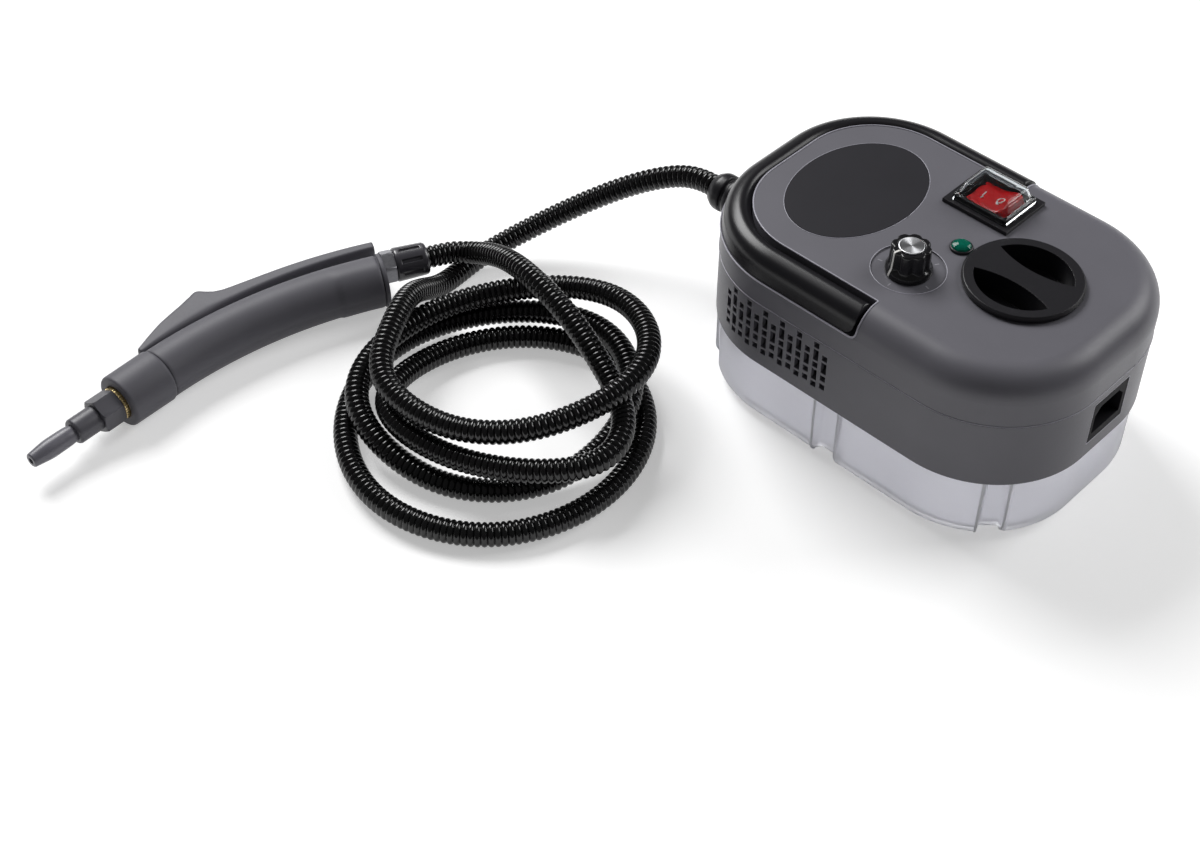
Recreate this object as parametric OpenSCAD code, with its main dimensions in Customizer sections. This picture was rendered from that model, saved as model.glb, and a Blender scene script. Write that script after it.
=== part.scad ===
// Steam cleaner: a base unit with a water tank, a ribbed hose and a hand gun.
// Millimetres, +Z up. The origin is the middle of the base unit's underside.
// +X runs from the hose end of the base unit to its mains inlet end.

/* [Base unit] */
// Length of the base unit
base_l = 222; // [210:1:250]
// Width of the base unit
base_w = 153; // [148:1:175]
// Radius of the base unit's corners, seen from above
corner_r = 60; // [48:1:64]
// Thickness of the housing walls
wall = 3; // [2.4:0.1:3.6]
// Height of the mid housing's outside band
band_h = 39; // [36:1:48]
// Height of the top cover
cover_h = 29; // [27:1:36]
// Radius of the top cover's shoulder
edge_r = 15; // [12:0.5:17]
// Depth of the seam groove between the top cover and the mid housing
seam_d = 0.4; // [0.3:0.1:1.2]
// Height of the seam groove
seam_h = 0.6; // [0.4:0.1:1]

/* [Tank] */
// Height of the water tank
tank_h = 42; // [38:1:55]
// Step from the housing's side in to the tank's side
tank_inset = 1.5; // [1:0.1:2]
// Thickness of the tank's walls
tank_wall = 2.5; // [2:0.1:3]
// Radius of the tank's lower edge
tank_edge_r = 8; // [5:0.5:10]
// Width of the upright channels in the tank's sides
channel_w = 13; // [8:0.5:16]
// Depth of the upright channels
channel_d = 3; // [2:0.1:4]
// Place along X of the channels in the long sides
channel_x = 2; // [-10:1:10]
// Thickness of the tank seal
seal_t = 1; // [0.8:0.1:1.5]
// Width of the tank seal
seal_w = 3; // [2:0.5:4]

/* [Vents] */
// Number of vent columns
vent_columns = 13; // [7:1:14]
// Distance between vent columns
vent_pitch = 5.6; // [5:0.1:6]
// Width of a vent slot
vent_w = 3.3; // [2:0.1:3.4]
// Place along X of the last vent column
vent_x = -7; // [-14:1:-4]
// Height of the middle of the vents above the tank
vent_z = 22; // [19:0.1:22.5]

/* [Carry handle] */
// Width of the ledge that the handle lies on
ledge_w = 16; // [13:0.5:18]
// Depth of the ledge below the top
ledge_d = 15; // [12:0.5:17]
// Clearance round the handle
handle_gap = 0.4; // [0.3:0.05:0.6]
// Place along X of the handle's hinge
pivot_x = 0; // [-6:0.5:2]
// Room for the handle's end to swing past the notch
notch_room = 9.5; // [9.3:0.1:12]
// Radius of the handle's upper end corner
handle_corner_r = 3; // [2.5:0.5:5]
// Radius of the hinge pins
pin_r = 2.5; // [2:0.1:3]
// Length of a hinge pin inside the handle
pin_in = 8; // [6:0.5:10]

/* [Label] */
// Place along X of the oval label
label_x = -52.5; // [-56:0.5:-50]
// Half length of the label along X
label_rx = 32; // [26:0.5:34]
// Half length of the label along Y
label_ry = 44; // [36:0.5:48]
// Thickness of the label
label_t = 0.9; // [0.7:0.1:1.2]
// Depth of the label's recess
label_d = 0.6; // [0.3:0.1:0.6]

/* [Knob] */
// Place of the knob along X
knob_x = 5; // [2:0.5:8]
// Place of the knob along Y
knob_y = -31; // [-34:0.5:-28]
// Radius of the dial recess
dial_r = 19; // [16:0.5:21]
// Depth of the dial recess
dial_d = 0.8; // [0.5:0.1:1.2]
// Radius of the knob's skirt
knob_r = 12.2; // [11:0.1:14]
// Radius of the knob's fluted grip
grip_r = 10.2; // [9:0.1:10.8]
// Height of the knob's skirt
skirt_h = 3.5; // [2:0.5:5]
// Height of the knob
knob_h = 15; // [13:0.5:19]
// Number of flutes
flutes = 8; // [6:1:16]
// Radius of the metal disc on the knob
disc_r = 6.6; // [5:0.1:8]
// Radius of the potentiometer's shaft
shaft_r = 3; // [2.5:0.1:3.5]
// Radius of the potentiometer's body
pot_r = 8.5; // [7:0.5:10]
// Height of the potentiometer's body
pot_h = 9; // [7:0.5:11]

/* [Lamp] */
// Place of the lamp along X
lamp_x = 14; // [12:0.5:18]
// Radius of the lamp's rim
lamp_r = 6.1; // [5.6:0.1:7]
// Radius of the lamp's lens
lens_r = 4.1; // [3.5:0.1:4.3]
// Height of the rim above the top
lamp_rim_h = 1.4; // [1:0.1:2.2]
// Depth of the lamp's sleeve below the top
lamp_depth = 12; // [10:0.5:16]

/* [Switch] */
// Place of the switch along X
switch_x = 4.6; // [0:0.2:8]
// Distance of the switch's middle from the far side of the base unit
switch_edge = 36.9; // [36:0.1:40]
// Length of the switch's bezel along X
bezel_l = 40; // [37:0.5:42]
// Width of the switch's bezel along Y
bezel_w = 33.6; // [32:0.2:35]
// Height of the bezel above the top
bezel_h = 2.2; // [1.5:0.1:3]
// Depth of the switch's body below the top
switch_depth = 25; // [20:1:27]
// Radius that the rocker's ends turn on
rocker_r = 13.3; // [12:0.1:14]
// Width of the rocker along Y
rocker_w = 20.6; // [18:0.2:22]
// Tilt of the rocker to each side
rocker_tilt = 9; // [6:0.5:11]
// Height of the clear cover above the bezel
shield_h = 11.5; // [9:0.5:15]
// Thickness of the clear cover
shield_t = 1.2; // [1:0.1:1.6]

/* [Filler] */
// Place of the filler along X
filler_x = 51.5; // [49:0.5:54]
// Radius of the filler cap's rim
cap_r = 30.5; // [30:0.5:34]
// Height of the cap's rim
cap_rim_h = 2.4; // [2:0.1:5]
// Depth of the cap's plug below its rim
plug_h = 16.5; // [14:0.5:20]
// Depth of the finger pockets
pocket_d = 14; // [10:0.5:16]
// Half width of the grip bar at its middle
bar_half = 6.3; // [4:0.1:7]
// Radius of the grip bar's hollow sides
bar_curve_r = 54; // [26:1:60]
// Inside radius of the filler neck
neck_r = 26.6; // [24:0.1:27]
// Thickness of the filler neck's wall
neck_t = 2.2; // [1.8:0.1:2.8]
// Thickness of the cap's seal
cap_seal_t = 1; // [1:0.1:2]
// Height of the strainer
strainer_h = 14; // [10:1:20]

/* [Inlet] */
// Width of the inlet's flange
inlet_w = 30; // [28:0.5:34]
// Height of the inlet's flange
inlet_h = 26.5; // [25:0.5:28]
// Height of the inlet's middle above the tank
inlet_z = 21; // [20:0.5:23]
// Width of the inlet's body
inlet_body_w = 27; // [25:0.5:27.5]
// Height of the inlet's body
inlet_body_h = 19.6; // [19:0.2:21]
// Length of the inlet's body behind the flange
inlet_len = 22; // [20:0.5:24]
// Depth of the socket
socket_d = 17; // [14:0.5:18]
// Thickness of the flange
inlet_t = 2; // [1.6:0.1:2.4]

/* [Gland] */
// Height of the hose gland's middle above the tank
gland_z = 17; // [16:0.5:22]
// Radius of the gland's flange
gland_flange_r = 14; // [12:0.5:15]
// Radius of the gland's body
gland_r = 11.5; // [10.5:0.1:12]
// Length of the gland outside the housing
gland_len = 36; // [34:1:40]
// Radius of the gland's thread
gland_thread_r = 9.5; // [8.5:0.1:10]

/* [Inside] */
// Height of the spacers under the pump and the boiler
spacer_h = 4; // [3:0.5:6]
// Length of the boiler block
boiler_l = 80; // [70:1:82]
// Width of the boiler block
boiler_w = 46; // [40:1:48]
// Height of the boiler block
boiler_h = 30; // [26:1:32]
// Length of the pump's coil housing
pump_l = 46; // [40:1:50]
// Width and height of the pump's coil housing
pump_w = 36; // [32:1:38]
// Outer radius of the water and steam tubes
tube_r = 3; // [2.5:0.1:3.4]
// Length of the control board
board_l = 54; // [46:1:56]
// Width of the control board
board_w = 32; // [28:1:34]
// Radius of the cover screws
screw_r = 1.7; // [1.5:0.1:2]

/* [Gun] */
// Place of the gun's collar face along X
gun_x = -288; // [-296:1:-282]
// Place of the gun's collar face along Y
gun_y = -313; // [-325:1:-308]
// Direction of the gun's barrel, seen from above
gun_turn = 93; // [90:1:95]
// Radius of the gun's front collar and of its rear cap
collar_r = 15.2; // [15:0.1:16]
// Length of the gun's front collar
collar_len = 28; // [24:1:30]
// Radius of the gun's body
gun_r = 14.4; // [14:0.1:14.8]
// Thickness of the gun's shells
shell_t = 2.5; // [2:0.1:2.7]
// Radius of the bend of the body
bend_r = 270; // [255:5:290]
// Angle of the bend of the body
bend_a = 29; // [27:0.5:30]
// Thickness of the rear cap
rear_cap_t = 3; // [2:0.5:4]
// Step of the hose nut from the middle of the rear cap, to the trigger's side
hose_step = 3.5; // [2:0.5:4]
// Rise of the hose nut above the middle of the rear cap
hose_rise = 5.8; // [5.4:0.1:6]

/* [Trigger] */
// Clearance between the pressed trigger and the body
trigger_gap = 1.2; // [1:0.1:1.6]
// Height of the trigger's outer side above the barrel's axis, at rest
trigger_rise = 27.2; // [25.6:0.2:28]
// Width of the trigger lever
trigger_w = 14; // [10:0.5:16]
// Travel of the trigger, in degrees
trigger_travel = 2.5; // [1.5:0.1:2.6]
// Distance of the trigger's pin behind the collar face
trigger_pin_s = 48; // [47:0.5:50]
// Distance of the trigger's pin from the barrel's axis
trigger_pin_n = 7.5; // [7:0.1:7.8]
// Radius of the trigger's pin
trigger_pin_r = 2; // [1.6:0.1:2.2]
// Thickness of the trigger's web
web_t = 6; // [4:0.5:6]
// Angle along the bend at which the trigger works the switch
nub_a = 14; // [12:0.5:16]

/* [Nozzle] */
// Radius of the brass outlet's ring
brass_r = 9.4; // [9:0.1:9.8]
// Radius of the nozzle nut across its corners
nozzle_nut_r = 10.2; // [9.6:0.1:11]
// Length of the nozzle nut
nozzle_nut_len = 13; // [10:0.5:16]
// Radius of the nozzle adapter
adapter_r = 7.2; // [6.6:0.1:8]
// Length of the nozzle adapter
adapter_len = 15; // [12:0.5:18]
// Radius of the nozzle at its root
nozzle_root_r = 4.7; // [4.2:0.1:5.2]
// Radius of the nozzle at its tip
nozzle_tip_r = 3.4; // [3:0.1:4]
// Length of the nozzle beyond the adapter
nozzle_len = 27; // [22:0.5:32]
// Radius of the bore through the nozzle and the outlet
jet_r = 1.5; // [1:0.1:2]

/* [Hose fitting] */
// Radius of the hose nut across its corners
hose_nut_r = 9.8; // [9:0.1:10]
// Length of the hose nut
hose_nut_len = 7; // [6:0.5:8]
// Radius of the ferrule
ferrule_r = 9.8; // [9:0.1:10]
// Length of the ferrule
ferrule_len = 19; // [17:0.5:20]
// Number of slots in the ferrule
ferrule_slots = 8; // [4:1:10]

/* [Hose] */
// Radius of the hose over its ribs
hose_r = 6.5; // [6:0.1:6.5]
// Depth of the hose's ribs
rib_d = 0.7; // [0.4:0.1:1]
// Radius of the hose's bore
bore_r = 4.2; // [3.6:0.1:4.4]
// Distance between the drawn ribs
rib_pitch = 13; // [12:0.5:20]

/* [Fits] */
// Radial clearance of pins, shafts and trunnions in their bores
run_gap = 0.05; // [0.02:0.01:0.1]
// Clearance of fixed pieces in their seats
seat_gap = 0.1; // [0.05:0.01:0.2]
// Clearance round moving pieces
move_gap = 0.4; // [0.3:0.05:0.5]

/* [Hidden] */
$fn = 64;
eps = 1;

grey = "#56575b";
black = "#17181a";
frost = "#dfe2e6";
charcoal = "#3a3a40";
metal = "#a9abad";
brass = "#b8914a";
rubber = "#222222";

// Heights of the base unit's levels
z_floor = tank_h + seal_t;
z_deck = z_floor + wall;
z_seam = tank_h + band_h;
z_top = z_seam + cover_h;
z_under = z_top - wall;
z_ledge = z_top - ledge_d;
vent_mid = tank_h + vent_z;
inlet_mid = tank_h + inlet_z;
gland_mid = tank_h + gland_z;

// Hinge of the carry handle
handle_half = (ledge_d - handle_gap) / 2;
pivot_z = z_top - handle_half;
notch_x = pivot_x + notch_room;
pin_y = base_w / 2 - ledge_w;

// Posts of the top cover, drawn in from the corners
post_r = 4.5;
post_in = 14.5;
post_x = base_l / 2 - corner_r + (corner_r - post_in) * cos(45);
post_y = base_w / 2 - corner_r + (corner_r - post_in) * sin(45);
screw_grip = 20;

// Filler
plug_r = neck_r - move_gap;
z_cap = z_top + cap_seal_t + seat_gap;
pocket_r = plug_r - 1.6;
strain_seat = 2;

// Switch
switch_y = base_w / 2 - switch_edge;
body_step = 1.8;
pivot_drop = 4;
window_l = 2 * (rocker_r + move_gap);
window_w = rocker_w + 2 * move_gap;
trunnion_r = 1.5;
trunnion_len = 1.5;

// Length of the bosses that hold the handle's pins, short of the switch's body
boss_len = pin_y - wall - switch_y - bezel_w / 2 + body_step - move_gap;

// Places inside the housing
z_parts = z_deck + spacer_h;
boiler_x0 = -62;
boiler_y0 = -8;
pump_x0 = -70;
pump_z = z_parts + pump_w / 2;
filter_r = 7;
filter_h = 14;
intake_a = 22;
intake_d = corner_r - tank_inset - tank_edge_r - filter_r - move_gap;
intake_x = corner_r - base_l / 2 - intake_d * cos(intake_a);
pump_y = corner_r - base_w / 2 - intake_d * sin(intake_a);
mount_l = 10;
mount_w = 28;
feed_x = 12;
feed_bend = 8;
outlet_z = gland_mid;
barb_len = 8;
board_x = feed_x + tube_r;
board_y = -neck_r - neck_t - 3 - board_w;
barb_r = tube_r + 1.5;
inlet_face = base_l / 2 - inlet_t - 0.1;

// The gun's own frame: X along the barrel to the rear, Y to the trigger's side
body_s = collar_len;
inner_r = gun_r - shell_t;
lever_in = bend_r + gun_r + trigger_gap;
lever_a0 = 1;
lever_a1 = bend_a + 0.7;
slot_half = web_t / 2 + move_gap;
boss_z = 9;
screw_n = -8.3;
screw_a = [6, 24];
gun_screw_r = 1.4;
gun_screw_len = 14;
gun_head_r = 2.5;
plunger_len = 4.6;
plunger_r = 1.6;
switch_n = 6.5;
nub_travel = (body_s + bend_r * sin(nub_a) - trigger_pin_s) * sin(trigger_travel);
fin = [[29, 12], [29.3, 18.8], [50.8, 26.1], [68.5, 29.3], [79, 32], [81.5, 32.2], [83.8, 30.5], [85.2, 27.5],
  [88.5, 23.5], [96, 20], [96, 12]];

// Steam tube in the gun: angle along the bend, step to the trigger's side, rise
tube_steps = [[2, -1, 0], [6, -2.2, 0], [12, -2.2, 0], [17, -1.5, 1], [20.5, 1, 3.6]];

// Where the hose leaves the ferrule, and its direction there
rear_d = rear_cap_t + hose_nut_len + ferrule_len;
rear_p = [body_s + bend_r * sin(bend_a) + rear_d * cos(bend_a) + hose_step * sin(bend_a),
  bend_r * (cos(bend_a) - 1) - rear_d * sin(bend_a) + hose_step * cos(bend_a)];
gun_end = [gun_x + rear_p[0] * cos(gun_turn) - rear_p[1] * sin(gun_turn),
  gun_y + rear_p[0] * sin(gun_turn) + rear_p[1] * cos(gun_turn), collar_r + hose_rise];
gun_dir = [cos(gun_turn - bend_a), sin(gun_turn - bend_a), 0];

// Route of the hose from the gland to its coil, after its straight start
gland_end = [-base_l / 2 - gland_len, 0, gland_mid];
base_route = [gland_end, gland_end - [9, 0, 0], [-172, -2, 56], [-194, -17, 46], [-215, -40, 32],
  [-234, -67, 17], [-246, -97, 6.5], [-241, -128, 5], [-226, -160, 38], [-206, -192, 41]];

// Loops of the coil, each from the left and round against the clock in steps of 45 degrees: radius and height
coil_x = -143;
coil_y = -179;
coil_a0 = 224;
coil_step = 45;
coil_grow = 1.1;
top_loop = [[56, 37], [40, 36.5], [37, 36], [51, 43], [84, 47], [95, 38], [78, 27], [75, 20.5]];
left_loop = [[74, 21.5], [53, 7], [50, 7], [57, 8], [74, 21], [84, 21], [77, 13], [80, 7]];
floor_loop = [[77, 7], [81, 7], [82, 7], [80, 7], [82, 7], [79, 7], [63, 7], [57, 8]];
inner_loop = [[57, 19.5], [45, 23], [47, 23.5]];

// Route of the hose from its coil to the gun
gun_route = [[-72, -192, 28], [-62, -167, 30], [-80, -141, 30], [-111, -129, 35], [-142, -121, 45],
  [-180, -116, 50], [-212, -106, 36], [-234, -102, 22],
  gun_end + 16 * gun_dir, gun_end + 8 * gun_dir, gun_end];

// The whole route and its measures
hose_sides = 8;
loops = concat(top_loop, left_loop, floor_loop, inner_loop);
coil_route = [for (i = [0 : len(loops) - 1]) coil_point(i, loops[i])];
hose_route = concat(base_route, coil_route, gun_route);
hose_steps = 12;
hose_fine = [for (i = [0 : hose_steps * (len(hose_route) - 1)]) spline(hose_route, i / hose_steps)];
hose_lengths = [for (i = 0, l = 0; i < len(hose_fine);
  l = l + norm(hose_fine[min(i + 1, len(hose_fine) - 1)] - hose_fine[i]), i = i + 1) l];
length_to_place = [for (i = [0 : len(hose_fine) - 1]) [hose_lengths[i], i / hose_steps]];
place_to_length = [for (p = length_to_place) [p[1], p[0]]];
coil_start = lookup(len(base_route), place_to_length);
coil_end = lookup(len(base_route) + len(coil_route) - 1, place_to_length);
hose_len = hose_lengths[len(hose_lengths) - 1];

// Point of the coil's route
function coil_point(i, p) = [coil_x + coil_grow * p[0] * cos(coil_a0 + coil_step * i),
  coil_y + coil_grow * p[0] * sin(coil_a0 + coil_step * i), p[1]];

// Point of a route, mirrored past its ends
function route_point(c, i) = i < 0 ? 2 * c[0] - c[1]
  : i >= len(c) ? 2 * c[len(c) - 1] - c[len(c) - 2] : c[i];

// Smooth curve along a route: a cubic B-spline
function spline(c, u) = let (i = min(floor(u), len(c) - 2), t = u - i)
  (pow(1 - t, 3) * route_point(c, i - 1) + (3 * pow(t, 3) - 6 * t * t + 4) * route_point(c, i)
  + (-3 * pow(t, 3) + 3 * t * t + 3 * t + 1) * route_point(c, i + 1) + pow(t, 3) * route_point(c, i + 2)) / 6;

// Ring of points round a route at a place
function ring(c, u, r, sides) = let (
  p = spline(c, u),
  d = spline(c, min(u + 0.01, len(c) - 1)) - spline(c, max(u - 0.01, 0)),
  t = d / norm(d),
  side = cross([0, 0, 1], t) / norm(cross([0, 0, 1], t)),
  up = cross(t, side))
  [for (k = [0 : sides - 1]) let (a = 360 / sides * (k + 0.5)) p + r * (cos(a) * side + sin(a) * up)];

// Faces between rings of points, outside or inside
function skin(n, m, first, out) = [for (j = [0 : n - 2], k = [0 : m - 1], h = [0, 1])
  let (a = first + j * m + k, b = first + j * m + (k + 1) % m)
  let (f = h == 0 ? [a, b, b + m] : [a, b + m, a + m]) out ? f : [f[2], f[1], f[0]]];

// Faces across an end, between an outer ring and an inner ring
function end_faces(o, i, m, front) = [for (k = [0 : m - 1], h = [0, 1])
  let (f = h == 0 ? [o + k, i + k, i + (k + 1) % m] : [o + k, i + (k + 1) % m, o + (k + 1) % m])
  front ? f : [f[2], f[1], f[0]]];

// Rounded rectangle of the base unit, drawn in from its edge
module outline(inset) {
  l = base_l - 2 * inset;
  w = base_w - 2 * inset;
  r = corner_r - inset;
  square([l - 2 * r, w], center = true);
  square([l, w - 2 * r], center = true);
  for (x = [-1, 1], y = [-1, 1])
    translate([x * (l / 2 - r), y * (w / 2 - r)]) circle(r);
}

// Prism of the outline between two heights
module slab(inset, z0, z1) {
  translate([0, 0, z0]) linear_extrude(z1 - z0) outline(inset);
}

// Half section of a block whose upper edge is rounded
module edge_section(half, h, r) {
  square([half - r, h]);
  square([half, h - r]);
  translate([half - r, h - r]) circle(r);
}

// Whole section of that block
module block_section(half, h, r) {
  edge_section(half, h, r);
  mirror([1, 0]) edge_section(half, h, r);
}

// Block of the outline with its upper edge rounded
module rounded_block(inset, h, r) {
  l = base_l - 2 * inset;
  w = base_w - 2 * inset;
  c = corner_r - inset;
  rotate([90, 0, 90]) linear_extrude(l - 2 * c, center = true) block_section(w / 2, h, r);
  rotate([90, 0, 0]) linear_extrude(w - 2 * c, center = true) block_section(l / 2, h, r);
  for (q = [0 : 3])
    translate([(q == 0 || q == 3 ? 1 : -1) * (l / 2 - c), (q < 2 ? 1 : -1) * (w / 2 - c), 0])
      rotate([0, 0, 90 * q]) rotate_extrude(angle = 90) intersection() {
        edge_section(c, h, r);
        square([c, h]);
      }
}

// The same block with its lower edge rounded
module rounded_tub(inset, h, r) {
  translate([0, 0, h]) mirror([0, 0, 1]) rounded_block(inset, h, r);
}

// Upright channels in the tank's sides, grown by a margin
module channels(grow) {
  r = corner_r - tank_inset;
  d = 2 * (channel_d + grow);
  w = channel_w + 2 * grow;
  for (y = [-1, 1])
    translate([channel_x, y * (base_w / 2 - tank_inset)]) square([w, d], center = true);
  for (x = [-1, 1], y = [-1, 1])
    translate([x * (base_l / 2 - corner_r), y * (base_w / 2 - corner_r)])
      rotate(atan2(y, x)) translate([r, 0]) square([d, w], center = true);
}

module tank() {
  in = tank_inset + tank_wall;
  color(frost) difference() {
    rounded_tub(tank_inset, tank_h, tank_edge_r);
    translate([0, 0, -eps]) linear_extrude(tank_h + 2 * eps) channels(0);
    difference() {
      translate([0, 0, tank_wall]) rounded_tub(in, tank_h, tank_edge_r - tank_wall);
      translate([0, 0, -eps]) linear_extrude(tank_h + 3 * eps) channels(tank_wall);
    }
  }
}

module tank_seal() {
  color(rubber) translate([0, 0, tank_h]) linear_extrude(seal_t) difference() {
    difference() {
      outline(tank_inset + seat_gap);
      channels(0);
    }
    difference() {
      outline(tank_inset + seal_w);
      channels(seal_w);
    }
  }
}

// One vent slot with round ends, upright
module vent_slot(z, h) {
  translate([0, z]) square([vent_w, h], center = true);
}

// Columns of long and short slots, every second one with more of them
module vents() {
  short = vent_w + 0.2;
  long = 7;
  for (i = [0 : vent_columns - 1])
    translate([vent_x - i * vent_pitch, vent_mid]) {
      if (i % 2 == 0) {
        vent_slot(7.4, short);
        vent_slot(0.8, long);
        vent_slot(-6.2, short);
        vent_slot(-11.8, short);
      } else {
        for (z = [-13.2, 0, 13.2]) vent_slot(z, short);
        for (z = [-6.6, 6.6]) vent_slot(z, long);
      }
    }
}

module mid_housing() {
  color(grey) difference() {
    union() {
      slab(0, z_floor, z_seam - seam_h);
      slab(seam_d, z_seam - seam_h, z_seam);
      slab(0, tank_h - eps, z_floor);
    }
    slab(wall, z_deck, z_seam + eps);
    slab(tank_inset - seat_gap, tank_h - 2 * eps, z_floor);
    translate([filler_x, 0, 0]) cylinder(z_seam, r = neck_r - strain_seat);
    rotate([90, 0, 0]) translate([0, 0, base_w / 2 - corner_r / 2]) linear_extrude(corner_r) vents();
    translate([base_l / 2 - inlet_t - 0.1, -inlet_w / 2 - seat_gap, inlet_mid - inlet_h / 2 - seat_gap])
      cube([wall, inlet_w + 2 * seat_gap, inlet_h + 2 * seat_gap]);
    translate([base_l / 2 - 2 * wall, -inlet_body_w / 2 - seat_gap, inlet_mid - inlet_body_h / 2 - seat_gap])
      cube([3 * wall, inlet_body_w + 2 * seat_gap, inlet_body_h + 2 * seat_gap]);
    translate([-base_l / 2 - eps, 0, gland_mid]) rotate([0, 90, 0])
      cylinder(wall + 2 * eps, r = gland_thread_r + seat_gap);
    translate([intake_x, pump_y, z_floor - eps]) cylinder(wall + 2 * eps, r = tube_r + move_gap);
    for (x = [-1, 1], y = [-1, 1])
      translate([x * post_x, y * post_y, z_floor - eps]) cylinder(wall + 2 * eps, r = screw_r + seat_gap);
  }
}

// Oval of the label
module oval(rx, ry) {
  polygon([for (i = [0 : 71]) [rx * cos(5 * i), ry * sin(5 * i)]]);
}

// Ledge for the handle, cut round the hose end
module handle_recess() {
  difference() {
    translate([-base_l, -base_w, z_ledge]) cube([base_l + notch_x, 2 * base_w, ledge_d + eps]);
    slab(ledge_w, z_ledge - eps, z_top + 2 * eps);
  }
}

// Hollow of the top cover
module cover_hollow() {
  slab(wall, z_seam - eps, z_ledge - wall);
  slab(ledge_w + wall, z_seam, z_under);
  intersection() {
    translate([0, 0, z_seam]) rounded_block(wall, cover_h - wall, edge_r - wall);
    translate([notch_x + wall, -base_w, z_seam]) cube([base_l, 2 * base_w, cover_h]);
  }
}

module top_cover() {
  color(grey) difference() {
    union() {
      difference() {
        translate([0, 0, z_seam]) rounded_block(0, cover_h, edge_r);
        handle_recess();
        cover_hollow();
      }
      for (y = [-1, 1])
        translate([pivot_x, y * (pin_y - wall), pivot_z]) rotate([y * 90, 0, 0])
          cylinder(boss_len, r = pin_r + 2.5);
      for (x = [-1, 1], y = [-1, 1])
        translate([x * post_x, y * post_y, z_deck])
          cylinder((x < 0 ? z_ledge - wall : z_under) - z_deck, r = post_r);
    }
    for (y = [-1, 1])
      translate([pivot_x, y * (pin_y + eps), pivot_z]) rotate([y * 90, 0, 0])
        cylinder(wall + boss_len + 2 * eps, r = pin_r);
    for (x = [-1, 1], y = [-1, 1])
      translate([x * post_x, y * post_y, z_deck - eps]) cylinder(screw_grip + eps, r = screw_r);
    translate([label_x, 0, z_top - label_d]) linear_extrude(label_d + eps)
      oval(label_rx + seat_gap, label_ry + seat_gap);
    translate([knob_x, knob_y, z_top - dial_d]) cylinder(dial_d + eps, r = dial_r);
    translate([knob_x, knob_y, z_under - eps]) cylinder(wall + 2 * eps, r = shaft_r + 1 + seat_gap);
    translate([lamp_x, 0, z_under - eps]) cylinder(wall + 2 * eps, r = lens_r + 0.8 + seat_gap);
    translate([switch_x - bezel_l / 2 + body_step - seat_gap, switch_y - bezel_w / 2 + body_step - seat_gap,
      z_under - eps])
      cube([bezel_l - 2 * body_step + 2 * seat_gap, bezel_w - 2 * body_step + 2 * seat_gap, wall + 2 * eps]);
    translate([filler_x, 0, z_under - eps]) cylinder(wall + 2 * eps, r = neck_r + neck_t + seat_gap);
  }
}

// Side view of the handle: square above its hinge's end, round below
module handle_side() {
  h = handle_half;
  translate([-base_l, -h]) square([base_l, 2 * h]);
  circle(h);
  square([h - handle_corner_r, h]);
  square([h, h - handle_corner_r]);
  translate([h - handle_corner_r, h - handle_corner_r]) circle(handle_corner_r);
}

module carry_handle() {
  color(black) difference() {
    intersection() {
      translate([0, 0, z_seam]) rounded_block(handle_gap, cover_h, edge_r);
      translate([pivot_x, 0, pivot_z]) rotate([90, 0, 0]) linear_extrude(2 * base_w, center = true)
        handle_side();
    }
    slab(ledge_w - handle_gap, z_ledge - eps, z_top + eps);
    for (y = [-1, 1])
      translate([pivot_x, y * (pin_y + pin_in + move_gap), pivot_z]) rotate([y * 90, 0, 0])
        cylinder(pin_in + 2 * eps, r = pin_r + run_gap);
  }
}

module handle_pins() {
  color(metal) for (y = [-1, 1])
    translate([pivot_x, y * (pin_y + pin_in), pivot_z]) rotate([y * 90, 0, 0])
      cylinder(pin_in + wall + boss_len, r = pin_r);
}

module label_plate() {
  color(black) translate([label_x, 0, z_top - label_d]) linear_extrude(label_t) oval(label_rx, label_ry);
}

module control_knob() {
  z0 = z_top - dial_d + move_gap;
  color(black) translate([knob_x, knob_y, z0]) difference() {
    union() {
      cylinder(skirt_h, r1 = knob_r, r2 = knob_r - 0.6);
      cylinder(knob_h, r = grip_r);
    }
    for (i = [0 : flutes - 1])
      rotate(360 / flutes * i) translate([grip_r + 1.2, 0, skirt_h + 0.5]) cylinder(knob_h, r = 2.2);
    translate([0, 0, knob_h - label_t]) cylinder(knob_h, r = disc_r + seat_gap);
    translate([0, 0, -eps]) cylinder(knob_h - 4 + eps, r = shaft_r);
  }
}

module knob_disc() {
  color(metal) translate([knob_x, knob_y, z_top - dial_d + move_gap + knob_h - label_t])
    cylinder(label_t + 0.3, r = disc_r);
}

module pot_shaft() {
  z1 = z_top - dial_d + move_gap + knob_h - 4;
  z0 = z_under - pot_h + 2;
  color(metal) translate([knob_x, knob_y, z0]) cylinder(z1 - z0, r = shaft_r);
}

module potentiometer() {
  color(metal) translate([knob_x, knob_y, z_under - pot_h]) difference() {
    union() {
      cylinder(pot_h, r = pot_r);
      cylinder(pot_h + wall - dial_d, r = shaft_r + 1);
    }
    translate([0, 0, 2 - move_gap]) cylinder(pot_h + wall, r = shaft_r + run_gap);
  }
}

module lamp_rim() {
  color(black) translate([lamp_x, 0, 0]) difference() {
    union() {
      translate([0, 0, z_top]) cylinder(lamp_rim_h, r1 = lamp_r, r2 = lamp_r - 0.6);
      translate([0, 0, z_top - lamp_depth]) cylinder(lamp_depth, r = lens_r + 0.8);
    }
    translate([0, 0, z_top - lamp_depth - eps])
      cylinder(lamp_depth + lamp_rim_h + 2 * eps, r = lens_r + seat_gap / 2);
  }
}

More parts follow.
